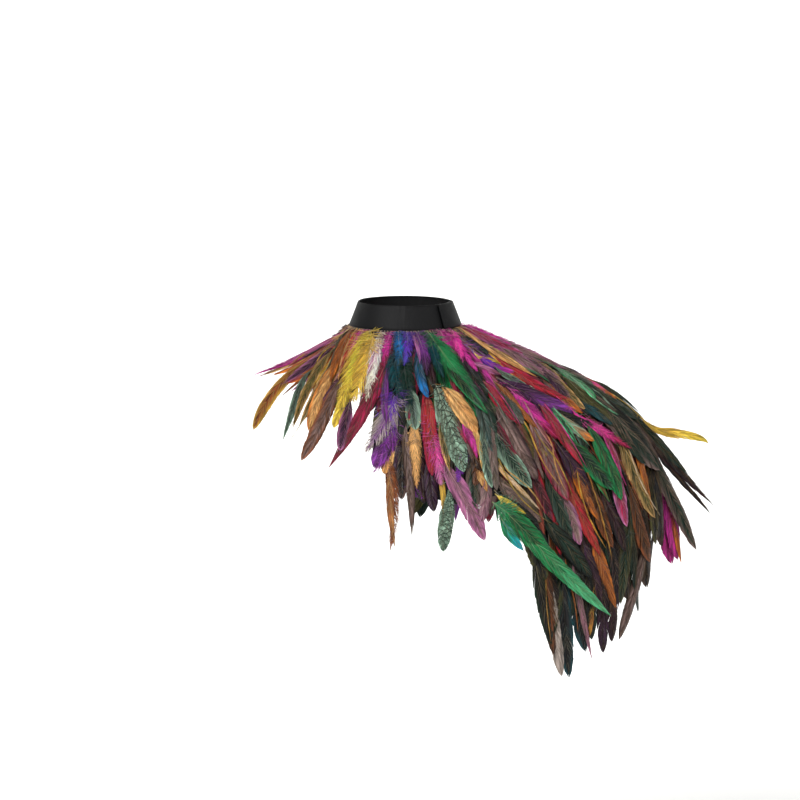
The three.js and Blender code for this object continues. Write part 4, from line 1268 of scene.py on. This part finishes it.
def quill_material():
    """Keratin shaft: smooth and horny, pale at the base."""
    material, tree = start_material("keratin_quill")
    dye = node(tree, "ShaderNodeAttribute", attribute_name="dye")
    place = node(tree, "ShaderNodeTexCoord")
    grain = node(tree, "ShaderNodeTexNoise", {"Vector": place.outputs["Object"], "Scale": 300.0})
    gloss = node(tree, "ShaderNodeMapRange", {"Value": grain.outputs[0], "To Min": 0.28, "To Max": 0.5})
    surface = node(tree, "ShaderNodeBsdfPrincipled", {
        "Base Color": dye.outputs["Color"], "Roughness": gloss.outputs[0], "IOR": 1.54})
    finish_material(tree, surface)
    return material


def woven_material(name, code, thread, roughness, sheen):
    """Black polyester cloth: threads over and under at the given spacing, with a dull sheen."""
    material, tree = start_material(name)
    place = node(tree, "ShaderNodeTexCoord")
    across = node(tree, "ShaderNodeTexWave", {
        "Vector": place.outputs["Object"], "Scale": WAVE_TURN / (thread * MM), "Distortion": 0.6,
    }, bands_direction="DIAGONAL")
    cloud = node(tree, "ShaderNodeTexNoise", {
        "Vector": place.outputs["Object"], "Scale": 60.0, "Detail": 4.0})
    tone = node(tree, "ShaderNodeMapRange", {"Value": cloud.outputs[0], "To Min": 0.7, "To Max": 1.35})
    colour = node(tree, "ShaderNodeVectorMath", {0: linear(code), "Scale": tone.outputs[0]},
                  operation="SCALE")
    relief = node(tree, "ShaderNodeBump", {
        "Height": across.outputs["Fac"], "Strength": 0.4, "Distance": 0.2 * MM})
    gloss = node(tree, "ShaderNodeMapRange", {
        "Value": across.outputs["Fac"], "To Min": roughness - 0.08, "To Max": roughness + 0.08})
    surface = node(tree, "ShaderNodeBsdfPrincipled", {
        "Base Color": colour.outputs[0], "Roughness": gloss.outputs[0], "Normal": relief.outputs[0],
        "Sheen Weight": sheen, "Sheen Roughness": 0.5})
    finish_material(tree, surface)
    return material


def ribbon_material(colour):
    """Black grosgrain ribbon: fine ribs across it, a dull satin light on them, and darker sewn edges."""
    material, tree = start_material("grosgrain_ribbon")
    ribbon_map = node(tree, "ShaderNodeUVMap", uv_map="ribbon")
    ribs = node(tree, "ShaderNodeTexWave", {
        "Vector": ribbon_map.outputs[0], "Scale": WAVE_TURN / RIB_SPACING, "Distortion": 0.8, "Detail": 1.0})
    cloud = node(tree, "ShaderNodeTexNoise", {
        "Vector": ribbon_map.outputs[0], "Scale": 0.09, "Detail": 5.0})
    parts = node(tree, "ShaderNodeSeparateXYZ", {"Vector": ribbon_map.outputs[0]})
    half = BAND_HEIGHT / 2
    from_middle = node(tree, "ShaderNodeMath", {0: parts.outputs["Y"], 1: half}, operation="SUBTRACT")
    distance = node(tree, "ShaderNodeMath", {0: from_middle.outputs[0]}, operation="ABSOLUTE")
    inside = node(tree, "ShaderNodeMapRange", {
        "Value": distance.outputs[0], "From Min": half - SEWN_EDGE["inner"],
        "From Max": half - SEWN_EDGE["outer"], "To Min": 1.0, "To Max": 0.5})
    tone = node(tree, "ShaderNodeMapRange", {
        "Value": cloud.outputs[0], "From Min": 0.3, "From Max": 0.7, "To Min": 0.75, "To Max": 1.3})
    both = node(tree, "ShaderNodeMath", {0: tone.outputs[0], 1: inside.outputs[0]}, operation="MULTIPLY")
    shaded = node(tree, "ShaderNodeVectorMath", {0: colour, "Scale": both.outputs[0]}, operation="SCALE")
    relief = node(tree, "ShaderNodeBump", {
        "Height": ribs.outputs["Fac"], "Strength": 0.35, "Distance": 0.3 * MM})
    gloss = node(tree, "ShaderNodeMapRange", {"Value": cloud.outputs[0], "To Min": 0.45, "To Max": 0.65})
    surface = node(tree, "ShaderNodeBsdfPrincipled", {
        "Base Color": shaded.outputs[0], "Roughness": gloss.outputs[0], "Normal": relief.outputs[0],
        "Specular IOR Level": 0.2})
    finish_material(tree, surface)
    return material


def pile_material():
    """Nylon hook-and-loop: a dense pile of small matt loops, painted lighter at each loop's middle with
    painted shade between the loops.
    """
    material, tree = start_material("nylon_hook_and_loop")
    place = node(tree, "ShaderNodeTexCoord")
    loops = node(tree, "ShaderNodeTexVoronoi", {
        "Vector": place.outputs["Object"], "Scale": 1 / (LOOP_SPACING * MM)})
    # Painted light and shade: each loop's middle is lighter and the gaps between the loops darker
    tone = node(tree, "ShaderNodeMapRange", {
        "Value": loops.outputs["Distance"], "To Min": 1.6, "To Max": 0.5})
    colour = node(tree, "ShaderNodeVectorMath", {0: linear("#161618"), "Scale": tone.outputs[0]},
                  operation="SCALE")
    relief = node(tree, "ShaderNodeBump", {
        "Height": loops.outputs["Distance"], "Strength": 0.6, "Distance": 0.4 * MM})
    surface = node(tree, "ShaderNodeBsdfPrincipled", {
        "Base Color": colour.outputs[0], "Roughness": 0.85, "Normal": relief.outputs[0]})
    finish_material(tree, surface)
    return material


def backdrop_material(colour):
    """Matt paper backdrop, nearly white."""
    material, tree = start_material("matt_backdrop_paper")
    place = node(tree, "ShaderNodeTexCoord")
    grain = node(tree, "ShaderNodeTexNoise", {"Vector": place.outputs["Object"], "Scale": 3.0})
    tone = node(tree, "ShaderNodeMapRange", {"Value": grain.outputs[0], "To Min": 0.985, "To Max": 1.0})
    shaded = node(tree, "ShaderNodeVectorMath", {0: colour, "Scale": tone.outputs[0]}, operation="SCALE")
    surface = node(tree, "ShaderNodeBsdfPrincipled", {"Base Color": shaded.outputs[0], "Roughness": 0.9})
    finish_material(tree, surface)
    return material


# Settings


def dye_property(name):
    """The setting for one dye."""
    words = name.replace("_", " ")
    return FloatVectorProperty(name=words.capitalize(), description="Dye of the " + words + " feathers",
                               subtype="COLOR", size=3, min=0, max=1, default=linear(DYES[name]))


class CollarDyes(bpy.types.PropertyGroup):
    """Colours of the dyed feathers."""

    __annotations__ = {name: dye_property(name) for name in DYES}


class CollarBand(bpy.types.PropertyGroup):
    """The ribbon neckband."""

    thickness: FloatProperty(name="Ribbon thickness", description="Thickness of the doubled ribbon in mm",
                             default=1.5, min=0.5, max=3)
    colour: FloatVectorProperty(name="Ribbon colour", description="Colour of the ribbon", subtype="COLOR",
                                size=3, min=0, max=1, default=linear("#09090b"))
    crease: FloatProperty(name="Front crease", description="Depth of the crease at the front in mm",
                          default=0.7, min=0, max=2)


class CollarFeathers(bpy.types.PropertyGroup):
    """How the feathers grow."""

    line_pitch: FloatProperty(name="Vane line pitch", description="Distance between a vane's lines in mm",
                              default=3.2, min=1.5, max=8)
    vane_wall: FloatProperty(name="Vane thickness", description="Thickness of a smooth vane in mm",
                             default=0.3, min=0.1, max=1)
    barb_pitch: FloatProperty(name="Barb pitch", description="Distance between loose barbs in mm",
                              default=0.8, min=0.5, max=4)
    barb_width: FloatProperty(name="Barb width", description="Width of a loose barb in mm",
                              default=0.8, min=0.2, max=2)
    rim_pitch: FloatProperty(name="Rim pitch", description="Distance between the paler single barbs in mm",
                             default=4, min=2, max=40)
    barb_height: FloatProperty(name="Barb height", description="Height of a barb's ridge in mm",
                               default=0.22, min=0.1, max=0.6)
    camber: FloatProperty(name="Camber", default=0.22, min=0, max=0.6,
                          description="How far a vane's edge falls, as a share of its half width")
    raggedness: FloatProperty(name="Raggedness", description="How far clumps of barbs part from each other",
                              default=1.0, min=0, max=3)
    quill: FloatProperty(name="Quill", description="Thickness of a quill at its base in mm",
                         default=1.0, min=0.3, max=2)


class CollarStage(bpy.types.PropertyGroup):
    """The floor, light and camera."""

    floor: FloatProperty(name="Floor", description="Height of the floor", default=-0.56, unit="LENGTH")
    paper: FloatVectorProperty(name="Backdrop", description="Colour of the floor and backdrop",
                               subtype="COLOR", size=3, min=0, max=1, default=linear("#f6f6f4"))
    key: FloatProperty(name="Key light", description="Power of the main soft light", default=50, unit="POWER")
    fill: FloatProperty(name="Fill light", description="Power of the second soft light", default=16,
                        unit="POWER")
    back: FloatProperty(name="Backdrop light", description="Power of the light on the backdrop", default=160,
                        unit="POWER")
    sky: FloatProperty(name="Sky", description="Strength of the even light all round", default=0.45, min=0)
    lens: FloatProperty(name="Lens", description="Focal length of the camera", default=111.4, unit="CAMERA")


# Operators


def band_point(azimuth, rise, out):
    """Points on the flared band: rise goes from 0 at its lower edge to 1 at its upper one."""
    angle = np.radians(azimuth)
    half_width = mix(BAND_LOWER["half_width"], BAND_UPPER["half_width"], rise) + out
    half_depth = mix(BAND_LOWER["half_depth"], BAND_UPPER["half_depth"], rise) + out
    y = -half_depth * np.cos(angle)
    up = rise * BAND_HEIGHT
    return np.stack([half_width * np.sin(angle), y - up * math.sin(BAND_TILT),
                     y * math.tan(BAND_TILT) + up * math.cos(BAND_TILT)], axis=-1)


def new_grid(name, columns, rows, map_name):
    """A flat grid one unit wide and long, with shares across it from 0 to 1."""
    bpy.ops.object.select_all(action="DESELECT")
    bpy.ops.mesh.primitive_grid_add(x_subdivisions=columns, y_subdivisions=rows, size=1, calc_uvs=True)
    piece = bpy.context.object
    piece.name = name
    piece.data.name = name
    piece.data.uv_layers[0].name = map_name
    flat = np.zeros(len(piece.data.vertices) * 3)
    piece.data.vertices.foreach_get("co", flat)
    shares = flat.reshape(-1, 3)[:, :2] + 0.5
    return piece, shares[:, 0], shares[:, 1]


def bend_grid(piece, points):
    """Moves a grid's points to where the cloth lies, given in millimetres."""
    piece.data.vertices.foreach_set("co", (points * MM).astype(np.float32).ravel())
    piece.data.update()


def scale_map(piece, map_name, width, height):
    """Stretches a flat grid's map to millimetres of cloth."""
    layer = piece.data.uv_layers[map_name]
    flat = np.zeros(len(layer.data) * 2)
    layer.data.foreach_get("uv", flat)
    layer.data.foreach_set("uv", (flat.reshape(-1, 2) * [width, height]).ravel())


SHARP_ANGLE = math.radians(50)
EDGE_STEPS = 2


def thicken(piece, thickness, edge):
    """Gives a sheet its wall, outwards and inwards alike, with rounded edges."""
    bpy.ops.object.select_all(action="DESELECT")
    piece.select_set(True)
    bpy.context.view_layer.objects.active = piece
    wall = piece.modifiers.new("wall", "SOLIDIFY")
    wall.thickness = thickness * MM
    wall.offset = 0
    wall.use_even_offset = True
    round_edge = piece.modifiers.new("edge", "BEVEL")
    round_edge.width = edge * MM
    round_edge.segments = EDGE_STEPS
    round_edge.limit_method = "ANGLE"
    round_edge.angle_limit = SHARP_ANGLE
    for modifier in ("wall", "edge"):
        bpy.ops.object.modifier_apply(modifier=modifier)
    bpy.ops.object.mode_set(mode="EDIT")
    bpy.ops.mesh.select_all(action="SELECT")
    bpy.ops.mesh.normals_make_consistent(inside=False)
    bpy.ops.object.mode_set(mode="OBJECT")
    bpy.ops.object.shade_smooth_by_angle(angle=SHARP_ANGLE)


class COLLAR_OT_neck_band(bpy.types.Operator):
    """Make the lapped ribbon that goes round the neck"""

    bl_idname = "collar.neck_band"
    bl_label = "Neckband"

    def execute(self, context):
        band = context.scene.collar_band
        piece, along, rise = new_grid("ribbon_neckband", BAND_GRID["columns"], BAND_GRID["rows"], "ribbon")
        turned = along * (360 + LAP_LENGTH)
        azimuth = LAP_FREE_END + turned
        lapped = LAP_OUT * (1 - smooth(turned, LAP_LENGTH, LAP_LENGTH + LAP_EASE))
        front = (azimuth + 180) % 360 - 180
        from_crease = (front - CREASE["azimuth"]) / CREASE["half_width"]
        from_swell = (front - SWELL["azimuth"]) / SWELL["half_width"]
        crease = -band.crease * np.exp(-from_crease ** 2) * smooth(rise, *CREASE["rise"])
        swell = SWELL["share"] * band.crease * np.exp(-from_swell ** 2) * smooth(rise, *SWELL["rise"])
        turns = np.radians(azimuth) * RIPPLE["count"]
        ripple = RIPPLE["depth"] * np.sin(turns + rise * RIPPLE["slant"]) * rise
        bend_grid(piece, band_point(azimuth, rise, lapped + crease + swell + ripple))
        length = math.pi * (BAND_LOWER["half_width"] + BAND_UPPER["half_depth"]) * (1 + LAP_LENGTH / 360)
        scale_map(piece, "ribbon", length, BAND_HEIGHT)
        thicken(piece, band.thickness, BAND_EDGE)
        piece.data.materials.append(ribbon_material(tuple(band.colour)))
        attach(piece, "root")
        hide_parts("neck_band")
        return {"FINISHED"}


class COLLAR_OT_fastener(bpy.types.Operator):
    """Finish the hook-and-loop pad between the lapped ends"""

    bl_idname = "collar.fastener"
    bl_label = "Fastener"

    def execute(self, context):
        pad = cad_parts["band_fastener"]
        pad.data.materials.clear()
        pad.data.materials.append(pile_material())
        return {"FINISHED"}


class COLLAR_OT_yoke(bpy.types.Operator):
    """Make the cloth yoke under the shoulder tiers"""

    bl_idname = "collar.yoke"
    bl_label = "Yoke"

    def execute(self, context):
        piece, along, down = new_grid("cloth_yoke", YOKE_GRID["columns"], YOKE_GRID["rows"], "cloth")
        azimuth = mix(YOKE["start"], YOKE["end"], along)
        hem = mix(YOKE["front_hem"], YOKE["hem"], smooth(azimuth - YOKE["start"], 0, YOKE_HEM_EASE))
        reach = mix(YOKE["top"], hem, 1 - down)
        under = 1 - smooth(reach, UNDER_NECK_TAPE["start"], UNDER_NECK_TAPE["end"])
        hem_fold = -HEM_FOLD["depth"] * smooth(hem - reach, HEM_FOLD["start"], HEM_FOLD["end"])
        lift = -YOKE["wall"] / 2 - UNDER_NECK_TAPE["drop"] * under + hem_fold
        points, _ = DRAPE.place(azimuth, reach, lift)
        bend_grid(piece, points)
        thicken(piece, YOKE["wall"], YOKE_EDGE)
        cloth = woven_material("polyester_twill", YOKE_BLACK, thread=1.1, roughness=0.8, sheen=0.2)
        piece.data.materials.append(cloth)
        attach(piece, "root")
        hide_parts("shoulder_backing")
        return {"FINISHED"}


FEATHER_FINISHES = ("dyed_hackle", "iridescent_coque", "feather_down", "keratin_quill", "heading_tape")


def grow_rows(context, neck):
    """Grows the neck rows, or the shoulder tiers, with one set of materials for both."""
    settings = context.scene.collar_feathers
    dyes = {name: np.array(getattr(context.scene.collar_dyes, name)) for name in DYES}
    materials = [bpy.data.materials.get(name) for name in FEATHER_FINISHES]
    if None in materials:
        materials = [
            feather_material("dyed_hackle", roughness=0.5, sheen=0.08, coat=0.0, metal=0.0),
            feather_material("iridescent_coque", roughness=0.36, sheen=0.0, coat=0.12, metal=0.15),
            feather_material("feather_down", roughness=0.7, sheen=0.2, coat=0.0, metal=0.0),
            quill_material(),
            woven_material("heading_tape", TAPE_BLACK, thread=0.8, roughness=0.8, sheen=0.15),
        ]
    for row in ROWS:
        if (row.tier == 0) == neck:
            feather_row(row, settings, dyes, materials)


class COLLAR_OT_neck_feathers(bpy.types.Operator):
    """Grow the rows of feathers that hang from the neckband"""

    bl_idname = "collar.neck_feathers"
    bl_label = "Neck feathers"

    def execute(self, context):
        grow_rows(context, True)
        return {"FINISHED"}


class COLLAR_OT_shoulder_feathers(bpy.types.Operator):
    """Grow the tiers of feathers over the long shoulder"""

    bl_idname = "collar.shoulder_feathers"
    bl_label = "Shoulder feathers"

    def execute(self, context):
        grow_rows(context, False)
        return {"FINISHED"}


# The stage, in metres: the floor with the backdrop that it sweeps up into, and the soft lights
FLOOR_SIZE = 9
FLOOR_BACK = 4
BACKDROP_HEIGHT = 5
SWEEP = {"width": 1.5, "steps": 12}
SENSOR_WIDTH = 36
Light = namedtuple("Light", "setting place size goal")
ON_COLLAR = (0.05, 0, -0.1)
ON_BACKDROP = (0, 4.5, 0.4)
LIGHTS = {
    "key_light": Light("key", (-1.1, -2.0, 1.5), 1.0, ON_COLLAR),
    "fill_light": Light("fill", (1.7, -1.6, 0.5), 1.6, ON_COLLAR),
    "backdrop_light": Light("back", (0, 1.4, 2.2), 3.0, ON_BACKDROP),
}


class COLLAR_OT_stage(bpy.types.Operator):
    """Set the floor, the light and the camera"""

    bl_idname = "collar.stage"
    bl_label = "Stage"

    def execute(self, context):
        stage = context.scene.collar_stage
        bpy.ops.object.select_all(action="DESELECT")
        bpy.ops.mesh.primitive_plane_add(size=FLOOR_SIZE, location=(0, 0, stage.floor))
        floor = context.object
        floor.name = "seamless_floor"
        bpy.ops.object.mode_set(mode="EDIT")
        bpy.ops.mesh.select_mode(type="EDGE")
        bpy.ops.mesh.select_all(action="DESELECT")
        bpy.ops.object.mode_set(mode="OBJECT")
        for edge in floor.data.edges:
            edge.select = all(floor.data.vertices[v].co.y > FLOOR_BACK for v in edge.vertices)
        bpy.ops.object.mode_set(mode="EDIT")
        bpy.ops.mesh.extrude_region_move(TRANSFORM_OT_translate={"value": (0, 0, BACKDROP_HEIGHT)})
        bpy.ops.object.mode_set(mode="OBJECT")
        bpy.ops.object.transform_apply(location=True)
        sweep = floor.modifiers.new("sweep", "BEVEL")
        sweep.width = SWEEP["width"]
        sweep.segments = SWEEP["steps"]
        sweep.limit_method = "ANGLE"
        bpy.ops.object.modifier_apply(modifier="sweep")
        bpy.ops.object.shade_smooth()
        floor.data.materials.append(backdrop_material(tuple(stage.paper)))
        for name, (setting, place, size, goal) in LIGHTS.items():
            bpy.ops.object.light_add(type="AREA", location=place)
            light = context.object
            light.name = name
            light.data.energy = getattr(stage, setting)
            light.data.size = size
            aim = np.array(goal) - np.array(place)
            light.rotation_euler = (math.pi - math.acos(aim[2] / np.linalg.norm(aim)), 0,
                                    math.atan2(aim[1], aim[0]) - math.pi / 2)
        world = bpy.data.worlds.new("studio")
        world.use_nodes = True
        world.node_tree.nodes["Background"].inputs["Color"].default_value = (1, 1, 1, 1)
        world.node_tree.nodes["Background"].inputs["Strength"].default_value = stage.sky
        context.scene.world = world
        bpy.ops.object.camera_add(
            location=(VIEW_CENTRE["x"] * MM, -VIEW_DISTANCE * MM, VIEW_CENTRE["z"] * MM),
            rotation=(math.pi / 2, 0, 0))
        camera = context.object
        camera.name = "front_camera"
        camera.data.lens = stage.lens
        camera.data.sensor_width = SENSOR_WIDTH
        context.scene.camera = camera
        context.scene.view_settings.view_transform = "Standard"
        return {"FINISHED"}


PIECES = (
    COLLAR_OT_neck_band,
    COLLAR_OT_fastener,
    COLLAR_OT_yoke,
    COLLAR_OT_neck_feathers,
    COLLAR_OT_shoulder_feathers,
    COLLAR_OT_stage,
)
SETTINGS = {
    "collar_dyes": CollarDyes,
    "collar_band": CollarBand,
    "collar_feathers": CollarFeathers,
    "collar_stage": CollarStage,
}


class COLLAR_PT_panel(bpy.types.Panel):
    """The collar's pieces and settings"""

    bl_idname = "COLLAR_PT_panel"
    bl_label = "Feather shawl collar"
    bl_space_type = "VIEW_3D"
    bl_region_type = "UI"
    bl_category = "Collar"

    def draw(self, context):
        for piece in PIECES:
            self.layout.operator(piece.bl_idname)
        for name in SETTINGS:
            group = getattr(context.scene, name)
            for key in group.bl_rna.properties.keys():
                if key not in ("rna_type", "name"):
                    self.layout.prop(group, key)


def register():
    for made in (*SETTINGS.values(), *PIECES, COLLAR_PT_panel):
        bpy.utils.register_class(made)
    for name, group in SETTINGS.items():
        setattr(bpy.types.Scene, name, PointerProperty(type=group))


def unregister():
    for name in SETTINGS:
        delattr(bpy.types.Scene, name)
    for made in (COLLAR_PT_panel, *reversed(PIECES), *reversed(SETTINGS.values())):
        bpy.utils.unregister_class(made)


def main():
    register()
    bpy.ops.collar.stage()
    bpy.ops.collar.neck_band()
    bpy.ops.collar.fastener()
    bpy.ops.collar.yoke()
    bpy.ops.collar.neck_feathers()
    bpy.ops.collar.shoulder_feathers()


if __name__ == "__main__":
    main()
